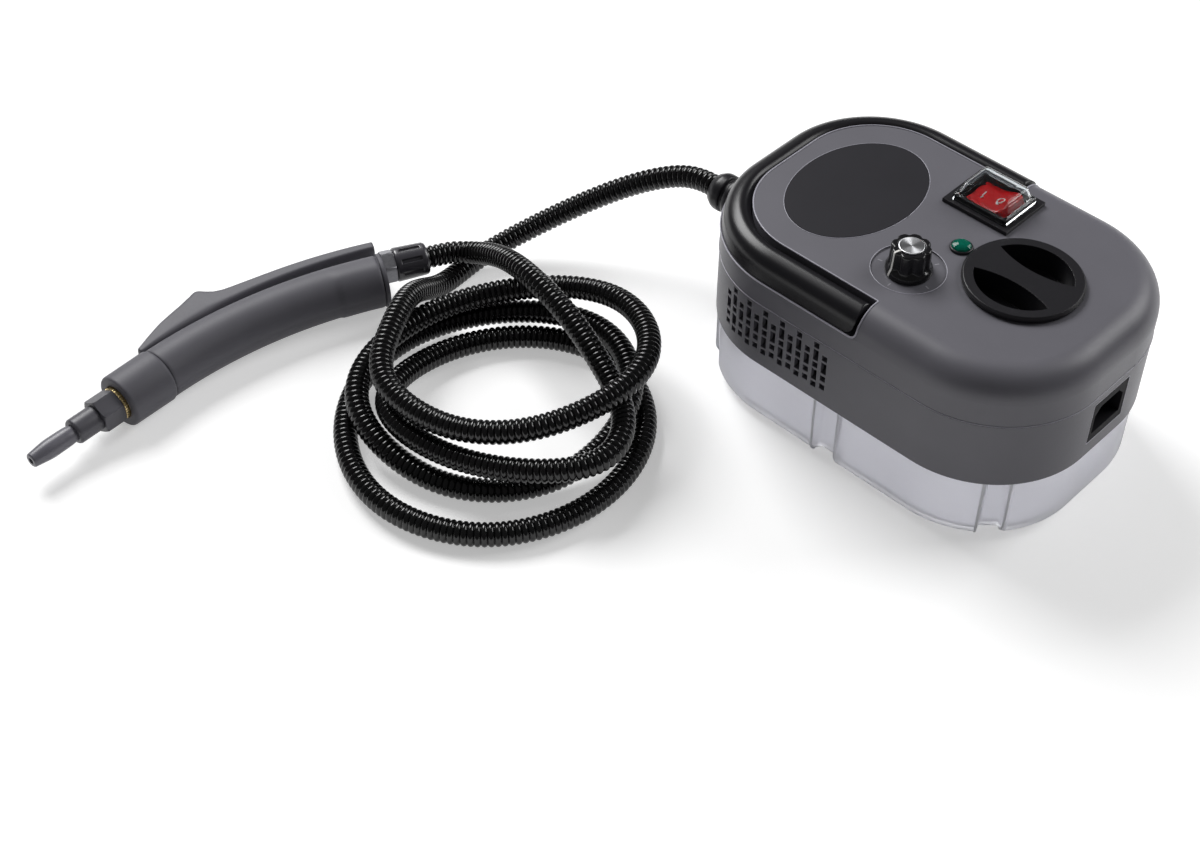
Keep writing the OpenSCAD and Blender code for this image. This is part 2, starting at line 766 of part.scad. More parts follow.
module lamp_lens() {
  dome_r = lens_r * 1.35;
  dome_z = sqrt(dome_r * dome_r - lens_r * lens_r);
  color("#12763c") translate([lamp_x, 0, 0]) intersection() {
    translate([0, 0, z_top - 6]) cylinder(6 + lamp_rim_h + lens_r, r = lens_r);
    translate([0, 0, z_top - 6]) union() {
      cylinder(6 + lamp_rim_h - 0.4, r = lens_r + eps);
      translate([0, 0, 6 + lamp_rim_h - 0.4 - dome_z]) sphere(dome_r);
    }
  }
}

module lamp_bulb() {
  color("#e8e0d0") translate([lamp_x, 0, z_top - lamp_depth]) cylinder(lamp_depth - 6, r = lens_r - 1);
}

// Block centred on the switch, between two heights
module switch_box(l, w, z0, z1) {
  translate([switch_x - l / 2, switch_y - w / 2, z0]) cube([l, w, z1 - z0]);
}

// Trunnions of the rocker, grown by a margin
module trunnions(grow) {
  translate([switch_x, switch_y, z_top - pivot_drop]) rotate([90, 0, 0])
    cylinder(rocker_w + 2 * trunnion_len + 2 * grow, r = trunnion_r + grow, center = true);
}

module switch_body() {
  color(black) difference() {
    union() {
      switch_box(bezel_l, bezel_w, z_top, z_top + bezel_h);
      switch_box(bezel_l - 2 * body_step, bezel_w - 2 * body_step, z_top - switch_depth, z_top);
    }
    switch_box(window_l, window_w, z_top - pivot_drop - rocker_r - 1, z_top + bezel_h + eps);
    trunnions(run_gap);
  }
}

module switch_rocker() {
  color("#b3141a") {
    translate([switch_x, switch_y, z_top - pivot_drop]) rotate([90, -rocker_tilt, 0])
      linear_extrude(rocker_w, center = true) intersection() {
        circle(rocker_r);
        polygon([[-rocker_r, -5], [rocker_r, -5], [rocker_r, 8.5], [0, 6], [-rocker_r, 8.5]]);
      }
    trunnions(0);
  }
}

module switch_shield() {
  l = window_l + 3.4;
  w = window_w + 3.4;
  z0 = z_top + bezel_h;
  color("#dfe8ee") difference() {
    union() {
      switch_box(l + 3, w + 3, z0, z0 + shield_t);
      switch_box(l, w, z0, z0 + shield_h);
    }
    switch_box(l - 2 * shield_t, w - 2 * shield_t, z0 - eps, z0 + shield_h - shield_t);
  }
}

// One finger pocket of the filler cap, between its rim and the hollow side of the grip bar
module pocket() {
  intersection() {
    circle(pocket_r);
    translate([0, bar_half + bar_curve_r]) circle(bar_curve_r);
  }
}

module filler_cap() {
  color(black) translate([filler_x, 0, z_cap]) difference() {
    union() {
      cylinder(cap_rim_h - 1, r = cap_r);
      translate([0, 0, cap_rim_h - 1]) cylinder(1, r1 = cap_r, r2 = cap_r - 1);
      translate([0, 0, -plug_h]) cylinder(plug_h, r = plug_r);
    }
    for (y = [0, 1])
      mirror([0, y, 0]) translate([0, 0, cap_rim_h - pocket_d]) linear_extrude(pocket_d + eps) pocket();
  }
}

module cap_seal() {
  color(rubber) translate([filler_x, 0, z_top + seat_gap]) difference() {
    cylinder(cap_seal_t - seat_gap, r = cap_r - 2);
    translate([0, 0, -eps]) cylinder(cap_seal_t + 2 * eps, r = plug_r + move_gap);
  }
}

module filler_neck() {
  color(frost) translate([filler_x, 0, z_deck]) difference() {
    cylinder(z_top - z_deck, r = neck_r + neck_t);
    translate([0, 0, -eps]) cylinder(z_top - z_deck + 2 * eps, r = neck_r);
  }
}

module strainer() {
  r = neck_r - seat_gap;
  color(frost) translate([filler_x, 0, z_deck]) difference() {
    cylinder(strainer_h, r = r);
    translate([0, 0, 1.2]) cylinder(strainer_h, r = r - 1.2);
    for (ring = [1 : 3], i = [0 : 6 * ring - 1])
      rotate(60 / ring * i) translate([6 * ring, 0, -eps]) cylinder(4, r = 1.6);
  }
}

// Block centred on the inlet's middle, between two places along X
module inlet_box(x0, x1, w, h) {
  translate([x0, -w / 2, inlet_mid - h / 2]) cube([x1 - x0, w, h]);
}

module power_inlet() {
  color(black) difference() {
    union() {
      inlet_box(inlet_face, inlet_face + inlet_t, inlet_w, inlet_h);
      inlet_box(inlet_face - inlet_len, inlet_face, inlet_body_w, inlet_body_h);
    }
    translate([inlet_face + inlet_t - socket_d, 0, inlet_mid]) rotate([90, 0, 90])
      linear_extrude(socket_d + eps)
        polygon([[-12, -8.2], [12, -8.2], [12, 4], [7.6, 8.2], [-7.6, 8.2], [-12, 4]]);
  }
}

module inlet_pins() {
  color(metal) for (p = [[-7, -2], [0, 2], [7, -2]])
    translate([inlet_face + inlet_t - socket_d, p[0] - 1, inlet_mid + p[1] - 2])
      cube([socket_d - 7, 2, 4]);
}

module hose_gland() {
  color(black) translate([-base_l / 2, 0, gland_mid]) rotate([0, -90, 0]) difference() {
    union() {
      cylinder(3, r = gland_flange_r);
      cylinder(20, r = gland_r);
      cylinder(gland_len, r = gland_r - 2);
      translate([0, 0, 22]) cylinder(gland_len - 22, r1 = gland_r, r2 = gland_r - 2);
      translate([0, 0, -12]) cylinder(12, r = gland_thread_r);
    }
    translate([0, 0, -13]) cylinder(gland_len + 14, r = tube_r + 1.2);
  }
}

module gland_nut() {
  color(black) translate([-base_l / 2 + wall, 0, gland_mid]) rotate([0, 90, 0]) difference() {
    rotate(30) cylinder(6, r = gland_flange_r, $fn = 6);
    translate([0, 0, -eps]) cylinder(6 + 2 * eps, r = gland_thread_r + run_gap);
  }
}

module pump() {
  out_x = pump_x0 + pump_l;
  color("#3f4a55") {
    translate([pump_x0, pump_y - pump_w / 2, z_parts]) cube([pump_l, pump_w, pump_w]);
    translate([out_x, pump_y, pump_z]) rotate([0, 90, 0]) cylinder(18, r = 10);
    translate([out_x + 18, pump_y, pump_z]) rotate([0, 90, 0])
      cylinder(feed_x - feed_bend - out_x - 18 - 4, r = barb_r);
    translate([pump_x0, pump_y, pump_z]) rotate([0, -90, 0])
      cylinder(pump_x0 - intake_x - feed_bend, r = barb_r);
  }
}

module pump_mounts() {
  color(rubber) for (x = [1, pump_l - mount_l - 1])
    translate([pump_x0 + x, pump_y - mount_w / 2, z_deck]) cube([mount_l, mount_w, spacer_h]);
}

module boiler() {
  color(metal) {
    translate([boiler_x0, boiler_y0, z_parts]) cube([boiler_l, boiler_w, boiler_h]);
    translate([boiler_x0, 0, outlet_z]) rotate([0, -90, 0]) cylinder(barb_len, r = barb_r);
    translate([feed_x, boiler_y0, pump_z]) rotate([90, 0, 0]) cylinder(barb_len, r = barb_r);
  }
}

module boiler_spacers() {
  color(frost) for (x = [8, boiler_l - 8], y = [8, boiler_w - 8])
    translate([boiler_x0 + x, boiler_y0 + y, z_deck]) cylinder(spacer_h, r = 4);
}

module thermostat() {
  color(metal) translate([boiler_x0 + 22, boiler_y0 + 24, z_parts + boiler_h]) {
    cylinder(4, r = 9);
    cylinder(9, r = 6);
  }
}

module thermal_fuse() {
  color("#c9b48a") translate([boiler_x0 + 42, boiler_y0 + 24, z_parts + boiler_h])
    translate([0, -4, 0]) cube([14, 8, 5]);
}

// Quarter bend of a tube in the XY plane: from +X at the origin round to +Y
module bend(r) {
  translate([0, r, 0]) rotate([0, 0, -90]) rotate_extrude(angle = 90) translate([r, 0]) circle(tube_r);
}

module intake_tube() {
  color(frost) translate([intake_x, pump_y, pump_z]) {
    translate([feed_bend, 0, 0]) rotate([0, 0, 180]) rotate([-90, 0, 0]) bend(feed_bend);
    translate([0, 0, -feed_bend]) mirror([0, 0, 1]) cylinder(pump_z - feed_bend - filter_h, r = tube_r);
  }
}

module intake_filter() {
  color(frost) translate([intake_x, pump_y, tank_wall]) cylinder(filter_h - tank_wall, r = filter_r);
}

module feed_tube() {
  y1 = boiler_y0 - barb_len;
  color(frost) translate([feed_x - feed_bend, pump_y, pump_z]) {
    translate([-4, 0, 0]) rotate([0, 90, 0]) cylinder(4, r = tube_r);
    bend(feed_bend);
    translate([feed_bend, feed_bend, 0]) rotate([-90, 0, 0]) cylinder(y1 - pump_y - feed_bend, r = tube_r);
  }
}

module steam_tube() {
  x0 = boiler_x0 - barb_len;
  color("#e9e4da") translate([x0, 0, outlet_z]) rotate([0, -90, 0])
    cylinder(x0 + base_l / 2 + gland_len, r = tube_r);
}

module control_board() {
  color("#2f6b46") translate([board_x, board_y, z_deck]) {
    for (x = [5, board_l - 5], y = [5, board_w - 5]) translate([x, y, 0]) cylinder(spacer_h, r = 3);
    translate([0, 0, spacer_h]) cube([board_l, board_w, 1.6]);
    translate([6, 10, spacer_h]) cube([20, 14, 22]);
    translate([38, 12, spacer_h]) cylinder(16, r = 6);
  }
}

module cover_screws() {
  color(metal) for (x = [-1, 1], y = [-1, 1]) translate([x * post_x, y * post_y, z_floor]) {
    cylinder(wall + screw_grip - 1, r = screw_r);
    mirror([0, 0, 1]) cylinder(2.4, r = 2 * screw_r);
  }
}

// Puts a piece into the gun's frame
module gun() {
  translate([gun_x, gun_y, collar_r]) rotate([0, 0, gun_turn]) children();
}

// Puts a piece at an angle along the bend of the gun's body
module along(a) {
  translate([body_s, -bend_r, 0]) rotate([0, 0, -a]) translate([0, bend_r, 0]) children();
}

// Half of the body's section, above or below the parting plane
module half_ring(up) {
  intersection() {
    difference() {
      circle(gun_r);
      circle(inner_r);
    }
    translate([-gun_r - 1, up > 0 ? 0 : -2 * gun_r]) square([2 * gun_r + 2, 2 * gun_r]);
  }
}

// One shell of the gun, with its bosses and its slots for the trigger
module gun_shell(up) {
  pin_boss = slot_half + (up > 0 ? 2.4 : 0);
  difference() {
    union() {
      translate([body_s, -bend_r, 0]) rotate([0, 0, 90 - bend_a]) rotate_extrude(angle = bend_a)
        translate([bend_r, 0]) half_ring(up);
      translate([trigger_pin_s, trigger_pin_n, up > 0 ? pin_boss : -boss_z])
        cylinder(boss_z - pin_boss, r = trigger_pin_r + 1.6);
      for (a = screw_a)
        along(a) translate([0, screw_n, up > 0 ? 0 : -boss_z]) cylinder(boss_z, r = 2.8);
    }
    translate([trigger_pin_s - 8, trigger_pin_n - 4, -slot_half]) cube([22, gun_r, 2 * slot_half]);
    along(nub_a) translate([-4, switch_n + 1, -slot_half]) cube([8, gun_r, 2 * slot_half]);
    translate([trigger_pin_s, trigger_pin_n, 0]) cylinder(pin_boss, r = trigger_pin_r + 2);
    translate([trigger_pin_s, trigger_pin_n, -12]) cylinder(24, r = trigger_pin_r);
    for (a = screw_a) along(a) translate([0, screw_n, -20]) {
      cylinder(20 + boss_z - 2, r = gun_screw_r);
      cylinder(22 - boss_z, r = gun_head_r + seat_gap);
    }
  }
}

module gun_upper_shell() {
  color(charcoal) gun() gun_shell(1);
}

module gun_lower_shell() {
  color(charcoal) gun() gun_shell(-1);
}

module gun_collar() {
  color(charcoal) gun() rotate([0, 90, 0]) difference() {
    union() {
      cylinder(collar_len, r = collar_r);
      cylinder(collar_len + 5, r = inner_r - seat_gap);
    }
    translate([0, 0, -eps]) cylinder(collar_len, r = brass_r + seat_gap);
    translate([0, 0, 5]) cylinder(collar_len + eps, r = inner_r - shell_t);
  }
}

module gun_rear_cap() {
  color(charcoal) gun() along(bend_a) rotate([0, 90, 0]) difference() {
    union() {
      cylinder(rear_cap_t, r = collar_r);
      translate([0, 0, -4]) cylinder(4, r = inner_r - 0.4);
    }
    translate([-hose_rise, hose_step, -6]) cylinder(rear_cap_t + 7, r = 4 + seat_gap);
  }
}

// Turns a piece of the trigger from its pressed place to its place at rest
module at_rest() {
  translate([trigger_pin_s, trigger_pin_n, 0]) rotate([0, 0, trigger_travel])
    translate([-trigger_pin_s, -trigger_pin_n, 0]) children();
}

// Side view of the trigger lever at rest: a bent bar with a fin at its front
module lever_side() {
  difference() {
    union() {
      intersection() {
        translate([body_s, -bend_r]) circle(bend_r + trigger_rise, $fn = 360);
        translate([body_s, -bend_r]) polygon([[0, 0], 400 * [sin(lever_a0), cos(lever_a0)],
          400 * [sin(lever_a1), cos(lever_a1)]]);
      }
      polygon(fin);
    }
    at_rest() translate([body_s, -bend_r]) circle(lever_in, $fn = 360);
  }
}

module gun_trigger() {
  nub_z = switch_n + 1 + nub_travel;
  color(charcoal) gun() difference() {
    union() {
      translate([0, 0, -trigger_w / 2]) linear_extrude(trigger_w) lever_side();
      translate([0, 0, -web_t / 2]) linear_extrude(web_t) {
        translate([trigger_pin_s, trigger_pin_n]) circle(trigger_pin_r + 2.2);
        polygon([[trigger_pin_s - 4, trigger_pin_n], [trigger_pin_s - 4, 19], [trigger_pin_s + 10, 19],
          [trigger_pin_s + 4, trigger_pin_n]]);
      }
      along(nub_a) translate([-2.5, nub_z, -web_t / 2]) cube([5, trigger_rise - 4 - nub_z, web_t]);
    }
    translate([trigger_pin_s, trigger_pin_n, -web_t]) cylinder(2 * web_t, r = trigger_pin_r + run_gap);
  }
}

module trigger_pin() {
  color(metal) gun() translate([trigger_pin_s, trigger_pin_n, -boss_z])
    cylinder(2 * boss_z, r = trigger_pin_r);
}

module trigger_spring() {
  color(metal) gun() translate([trigger_pin_s, trigger_pin_n, web_t / 2 + 0.2]) difference() {
    cylinder(2.4, r = trigger_pin_r + 1.6);
    translate([0, 0, -eps]) cylinder(5, r = trigger_pin_r + 0.2);
  }
}

module gun_switch() {
  half = sqrt(inner_r * inner_r - switch_n * switch_n) - 0.3;
  color(black) gun() along(nub_a) difference() {
    translate([-10, switch_n - 5, -half]) cube([20, 5, 2 * half]);
    translate([0, switch_n + eps, 0]) rotate([90, 0, 0]) cylinder(plunger_len + eps, r = plunger_r + run_gap);
  }
}

module switch_plunger() {
  top = switch_n + 1 + nub_travel - 0.35;
  color("#c8c8c8") gun() along(nub_a) translate([0, top, 0]) rotate([90, 0, 0])
    cylinder(top - switch_n + plunger_len - nub_travel - 0.3, r = plunger_r);
}

module gun_screws() {
  color(metal) gun() for (a = screw_a) along(a) translate([0, screw_n, 0]) {
    translate([0, 0, boss_z - 2 - gun_screw_len]) cylinder(gun_screw_len, r = gun_screw_r);
    translate([0, 0, -boss_z]) cylinder(2, r = gun_head_r);
  }
}

module brass_outlet() {
  color(brass) gun() rotate([0, 90, 0]) difference() {
    union() {
      translate([0, 0, -2]) cylinder(7, r = brass_r);
      translate([0, 0, -2]) cylinder(collar_len, r = 6);
      translate([0, 0, -nozzle_nut_len]) cylinder(nozzle_nut_len, r = 5);
    }
    translate([0, 0, -nozzle_nut_len - eps]) cylinder(collar_len + nozzle_nut_len, r = jet_r);
  }
}

module nozzle_nut() {
  color(black) gun() translate([-2 - nozzle_nut_len, 0, 0]) rotate([0, 90, 0]) difference() {
    cylinder(nozzle_nut_len, r = nozzle_nut_r, $fn = 6);
    translate([0, 0, 2]) cylinder(nozzle_nut_len, r = 5 + seat_gap);
    translate([0, 0, -eps]) cylinder(nozzle_nut_len, r = jet_r);
  }
}

module nozzle_adapter() {
  color(charcoal) gun() translate([-2 - nozzle_nut_len - adapter_len, 0, 0]) rotate([0, 90, 0]) difference() {
    cylinder(adapter_len, r = adapter_r);
    translate([0, 0, -eps]) cylinder(adapter_len + 2 * eps, r = jet_r);
  }
}

module nozzle_tip() {
  s0 = -2 - nozzle_nut_len - adapter_len;
  color(charcoal) gun() translate([s0, 0, 0]) rotate([0, -90, 0]) difference() {
    cylinder(nozzle_len, r1 = nozzle_root_r, r2 = nozzle_tip_r);
    translate([0, 0, -eps]) cylinder(nozzle_len + 2 * eps, r = jet_r);
  }
}

// Puts a piece on the hose nut's axis, at a distance behind the rear cap
module behind(d) {
  gun() along(bend_a) translate([rear_cap_t + d, hose_step, hose_rise]) rotate([0, 90, 0]) children();
}

module hose_nut() {
  color(metal) behind(0) difference() {
    union() {
      cylinder(hose_nut_len, r = hose_nut_r, $fn = 6);
      translate([0, 0, -rear_cap_t - 6]) cylinder(rear_cap_t + 6, r = 4);
    }
    translate([0, 0, -rear_cap_t - 7]) cylinder(hose_nut_len + rear_cap_t + 8, r = tube_r - 0.4);
  }
}

module hose_ferrule() {
  color(black) behind(hose_nut_len) difference() {
    cylinder(ferrule_len, r1 = ferrule_r, r2 = ferrule_r - 0.6);
    translate([0, 0, -eps]) cylinder(ferrule_len + 2 * eps, r = tube_r + 1.2);
    for (i = [0 : ferrule_slots - 1])
      rotate(360 / ferrule_slots * i) translate([ferrule_r - 1, -1, 4]) cube([3, 2, ferrule_len - 8]);
  }
}

// Place in the gun's frame: angle along the bend, step to the trigger's side, rise
function gun_place(q) = [body_s + (bend_r + q[1]) * sin(q[0]), (bend_r + q[1]) * cos(q[0]) - bend_r, q[2]];

module gun_tube() {
  s0 = collar_len - 2;
  last = gun_place([bend_a, hose_step, hose_rise]) - 6 * [cos(bend_a), -sin(bend_a), 0];
  route = concat([[s0, 0, 0], [s0 + 4, 0, 0]], [for (q = tube_steps) gun_place(q)],
    [last - 5 * [cos(bend_a), -sin(bend_a), 0], last]);
  n = 25;
  points = [for (j = [0 : n - 1], p = ring(route, (len(route) - 1) * j / (n - 1), tube_r, hose_sides)) p];
  ends = [[for (k = [hose_sides - 1 : -1 : 0]) k], [for (k = [0 : hose_sides - 1]) (n - 1) * hose_sides + k]];
  color("#e9e4da") gun() polyhedron(points, concat(skin(n, hose_sides, 0, true), ends));
}

// Ribbed tube with its bore, between two lengths along the hose
module ribbed_tube(l0, l1) {
  ribs = max(2, round((l1 - l0) / rib_pitch));
  n = 2 * ribs + 1;
  places = [for (j = [0 : n - 1]) lookup(l0 + (l1 - l0) * j / (n - 1), length_to_place)];
  radii = [for (j = [0 : n - 1]) hose_r - (j % 2 == 0 ? rib_d : 0)];
  outer = [for (j = [0 : n - 1], p = ring(hose_route, places[j], radii[j], hose_sides)) p];
  inner = [for (j = [0 : ribs], p = ring(hose_route, places[2 * j], bore_r, hose_sides)) p];
  first = n * hose_sides;
  last = first + ribs * hose_sides;
  color(black) polyhedron(concat(outer, inner), concat(
    skin(n, hose_sides, 0, true), skin(ribs + 1, hose_sides, first, false),
    end_faces(0, first, hose_sides, true), end_faces((n - 1) * hose_sides, last, hose_sides, false)));
}

module hose_base_run() {
  ribbed_tube(0, coil_start);
}

module hose_coil() {
  ribbed_tube(coil_start, coil_end);
}

module hose_gun_run() {
  ribbed_tube(coil_end, hose_len);
}

// Least gap of the hose to itself, measured on points along its middle
gap_step = 6;
gap_points = [for (l = [0 : gap_step : hose_len]) spline(hose_route, lookup(l, length_to_place))];
gap_skip = 9;
least_gap = min([for (i = [0 : len(gap_points) - gap_skip - 1], j = [i + gap_skip : len(gap_points) - 1])
  norm(gap_points[i] - gap_points[j])]) - 2 * hose_r;
echo(hose_length = hose_len, least_gap = least_gap);

tank();
tank_seal();
mid_housing();
top_cover();
carry_handle();
handle_pins();
label_plate();
control_knob();
knob_disc();
pot_shaft();
potentiometer();
lamp_rim();
lamp_lens();
lamp_bulb();
switch_body();
switch_rocker();
switch_shield();
filler_cap();
cap_seal();
filler_neck();
strainer();
power_inlet();
inlet_pins();
hose_gland();
gland_nut();
pump();
pump_mounts();
boiler();
boiler_spacers();
thermostat();
thermal_fuse();
intake_tube();
intake_filter();
feed_tube();
steam_tube();
control_board();
cover_screws();
gun_upper_shell();
gun_lower_shell();
gun_collar();
gun_rear_cap();
gun_trigger();
trigger_pin();
trigger_spring();
gun_switch();
switch_plunger();
gun_tube();
gun_screws();
brass_outlet();
nozzle_nut();
nozzle_adapter();
nozzle_tip();
hose_nut();
hose_ferrule();
hose_base_run();
hose_coil();
hose_gun_run();
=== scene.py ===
import math

import bmesh
import bpy
import numpy as np
from bpy.props import FloatProperty, FloatVectorProperty, IntProperty, PointerProperty
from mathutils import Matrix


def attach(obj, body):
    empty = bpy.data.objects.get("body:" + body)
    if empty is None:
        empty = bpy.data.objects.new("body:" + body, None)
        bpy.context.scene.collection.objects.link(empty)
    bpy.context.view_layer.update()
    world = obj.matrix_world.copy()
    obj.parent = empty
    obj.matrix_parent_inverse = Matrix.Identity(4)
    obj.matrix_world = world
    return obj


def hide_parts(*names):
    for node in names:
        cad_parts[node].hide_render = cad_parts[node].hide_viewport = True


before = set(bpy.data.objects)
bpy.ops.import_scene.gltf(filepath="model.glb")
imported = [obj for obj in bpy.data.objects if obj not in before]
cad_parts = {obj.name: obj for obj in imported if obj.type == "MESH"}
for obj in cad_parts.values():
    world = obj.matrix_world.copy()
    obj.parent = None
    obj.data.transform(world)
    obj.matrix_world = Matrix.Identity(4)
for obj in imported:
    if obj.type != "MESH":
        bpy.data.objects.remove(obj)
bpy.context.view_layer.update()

bl_info = {
    "name": "Steam Cleaner",
    "version": (1, 0, 0),
    "blender": (4, 5, 0),
    "location": "View3D > Sidebar > Steam Cleaner",
    "description": "Dresses a steam cleaner's solid parts: hose, tank, handle, controls, gun and finishes",
    "category": "Add Mesh",
}

# Sizes are in millimetres, as in the solid parts, and go to metres when a mesh is made.
MM = 0.001

# Base unit: half sizes and corners, heights, the handle's recess, and where each piece on it sits
HALF_L, HALF_W, CORNER_R = 111.0, 76.5, 60.0
TANK_H, SEAM_Z, TOP_Z = 42.0, 81.0, 110.0
LEDGE_W, LEDGE_Z, EDGE_R, NOTCH_X, NOTCH_R = 16.0, 95.0, 15.0, 9.5, 4.0
LABEL_X, LABEL_RX, LABEL_RY, LABEL_GAP = -52.5, 32.0, 44.0, 0.3
KNOB_AT, KNOB_Z, DIAL_Z, DIAL_R = (5.0, -31.0), 109.6, 109.2, 19.0
LAMP_AT = (14.0, 0.0)
SWITCH_AT, BEZEL_Z = (4.6, 39.6), 112.2
GLAND_Z, GLAND_LEN, INLET_Z = 59.0, 36.0, 63.0

# Tank: inset and thickness of its wall and radius of its foot; half width, bevel and place of a channel
TANK_IN, TANK_WALL, FOOT_R = 1.5, 2.5, 8.0
CHANNEL_W, CHANNEL_BEVEL, CHANNEL_X = 8.0, 3.0, -3.5

# Fine lips, painted as highlights: a channel's distance from its middle, beads' radii, room for the raised
# handle, rims' height
CHANNEL_LIP, CHANNEL_LIP_R = 7.3, 0.7
RECESS_LIP_R, SEAM_LIP_R, RIM_LIP_R, HANDLE_ROOM = 0.45, 0.3, 0.24, 0.14
RIM_LIP_Z = TOP_Z - 0.05

# Handle: radius and height of its hinge ends, and radius of their upper corners
HINGE_R, HINGE_Z, HINGE_CORNER = 7.3, 102.7, 3.0

# Rocker: its pivot below the housing's top, its tilt at rest, and the rise of its dished face to each end
PIVOT_DROP, ROCKER_TILT, ROCKER_SLOPE = 4.0, math.radians(9.0), math.atan2(2.2, 10.6)

# Gun: its frame has s along the barrel to the rear, n to the trigger's side and z up
GUN_AT, GUN_TURN = (-288.0, -313.0, 15.2), 93.0
COLLAR_R, COLLAR_LEN = 15.2, 28.0
BEND_R, BEND_A = 270.0, 29.0
TRIGGER_PIN, TRIGGER_TRAVEL, TRIGGER_IN_R = (48.0, 7.5), 2.5, 285.6
REAR_CAP_T, HOSE_STEP, HOSE_RISE = 3.0, 3.5, 5.8
HOSE_NUT_LEN, FERRULE_LEN, FERRULE_R = 7.0, 19.0, 9.8

# Gun's body: swelling, angle where it starts and its blend; depth and width of the parting line
SWELL, SWELL_A, SWELL_BLEND, PARTING_D, PARTING_W = 0.7, 23.2, 0.7, 0.22, 0.03

# Trigger: power of its squared section and half thickness of its web
SQUARE, WEB_HALF = 0.42, 3.0

# Brass outlet: count of its teeth and their depth as a share
TEETH, TOOTH_D = 36, 0.05

# Ferrule's slots: count, half width, middle, half length and depth as a share
SLOTS, SLOT_HALF, SLOT_MID, SLOT_REACH, SLOT_D = 8, 1.35, 9.3, 6.2, 0.11

# Knob: its pointer's turn from the front; where its flutes start, their blend and depth as a share
POINTER_TURN = math.radians(-18.0)
SKIRT_TOP, FLUTE_IN_R, FLUTE_BLEND, FLUTE_D = 3.2, 7.4, 1.6, 0.12

# Dial's marks: inner and outer end, half width, height over the dial and thickness
MARK_ENDS, MARK_HALF, MARK_UP, MARK_T = (14.0, 16.4), 0.3, 0.06, 0.05

# Stage, in metres: half width of the floor, point that the lights face, and each light's place and size
FLOOR_HALF, LIT_POINT = 12.0, (-0.1, -0.12, 0.05)
KEY_AT, KEY_SIZE, FILL_AT, FILL_SIZE = (-2.3, 0.45, 2.3), 1.6, (1.0, 2.1, 1.75), 1.5

# Hose: rings for each rib, points of its path, straight lead at the gun, and its route as in the solid parts
RIB_RINGS, PATH_POINTS, HOSE_LEAD = 6, 700, 8.0
BASE_ROUTE = [(-147, 0, 59), (-156, 0, 59), (-172, -2, 56), (-194, -17, 46), (-215, -40, 32), (-234, -67, 17),
              (-246, -97, 6.5), (-241, -128, 5), (-226, -160, 38), (-206, -192, 41)]
COIL_AT, COIL_START, COIL_STEP, COIL_GROW = (-143.0, -179.0), 224.0, 45.0, 1.1
COIL_LOOPS = [(56, 37), (40, 36.5), (37, 36), (51, 43), (84, 47), (95, 38), (78, 27), (75, 20.5),
              (74, 21.5), (53, 7), (50, 7), (57, 8), (74, 21), (84, 21), (77, 13), (80, 7),
              (77, 7), (81, 7), (82, 7), (80, 7), (82, 7), (79, 7), (63, 7), (57, 8),
              (57, 19.5), (45, 23), (47, 23.5)]
GUN_ROUTE = [(-72, -192, 28), (-62, -167, 30), (-80, -141, 30), (-111, -129, 35), (-142, -121, 45),
             (-180, -116, 50), (-212, -106, 36), (-234, -102, 22)]


def linear(red, green, blue):
    """Linear colour of an sRGB colour given in 0 to 255."""
    c = np.array([red, green, blue]) / 255.0
    return tuple(np.where(c <= 0.04045, c / 12.92, ((c + 0.055) / 1.055) ** 2.4))


class HoseSettings(bpy.types.PropertyGroup):
    """Sizes and colour of the ribbed hose"""
    radius: FloatProperty(name="Radius", description="Radius over the ribs", default=0.0065, unit="LENGTH")
    rib_pitch: FloatProperty(name="Rib pitch", description="Distance between ribs", default=0.0033,
                             unit="LENGTH")
    rib_depth: FloatProperty(name="Rib depth", description="Depth of the grooves", default=0.0011,
                             unit="LENGTH")
    colour: FloatVectorProperty(name="Colour", description="Colour of the hose", subtype="COLOR",
                                default=linear(13, 13, 14))


class BodySettings(bpy.types.PropertyGroup):
    """Colours of the base unit and depth of its tank's channels"""
    grey: FloatVectorProperty(name="Housing", description="Colour of the housing", subtype="COLOR",
                              default=linear(102, 101, 108))
    black: FloatVectorProperty(name="Black trim", description="Colour of handle, cap and switch",
                               subtype="COLOR", default=linear(29, 28, 32))
    frost: FloatVectorProperty(name="Tank", description="Colour of the frosted tank", subtype="COLOR",
                               default=linear(246, 246, 250))
    label: FloatVectorProperty(name="Label", description="Colour of the bare oval label", subtype="COLOR",
                               default=linear(38, 37, 42))
    channel_d: FloatProperty(name="Channel depth", description="Depth of the tank's upright channels",
                             default=0.0045, unit="LENGTH")


class ControlSettings(bpy.types.PropertyGroup):
    """Sizes and colours of the knob, lamp and switch"""
    flutes: IntProperty(name="Flutes", description="Flutes round the knob", default=8, min=6, max=16)
    ticks: IntProperty(name="Dial marks", description="Marks round the dial", default=5, min=2, max=31)
    red: FloatVectorProperty(name="Rocker", description="Colour of the rocker", subtype="COLOR",
                             default=linear(206, 12, 18))
    green: FloatVectorProperty(name="Lamp", description="Colour of the lamp's lens", subtype="COLOR",
                               default=linear(9, 138, 112))


class GunSettings(bpy.types.PropertyGroup):
    """Sizes and colour of the gun"""
    body_r: FloatProperty(name="Body radius", description="Radius of the gun's body", default=0.0144,
                          unit="LENGTH")
    lever_w: FloatProperty(name="Trigger width", description="Width of the trigger lever", default=0.014,
                           unit="LENGTH")
    lever_rise: FloatProperty(name="Trigger rise", description="Trigger's outer side above the barrel's axis",
                              default=0.0272, unit="LENGTH")
    colour: FloatVectorProperty(name="Colour", description="Colour of the gun", subtype="COLOR",
                                default=linear(88, 87, 94))


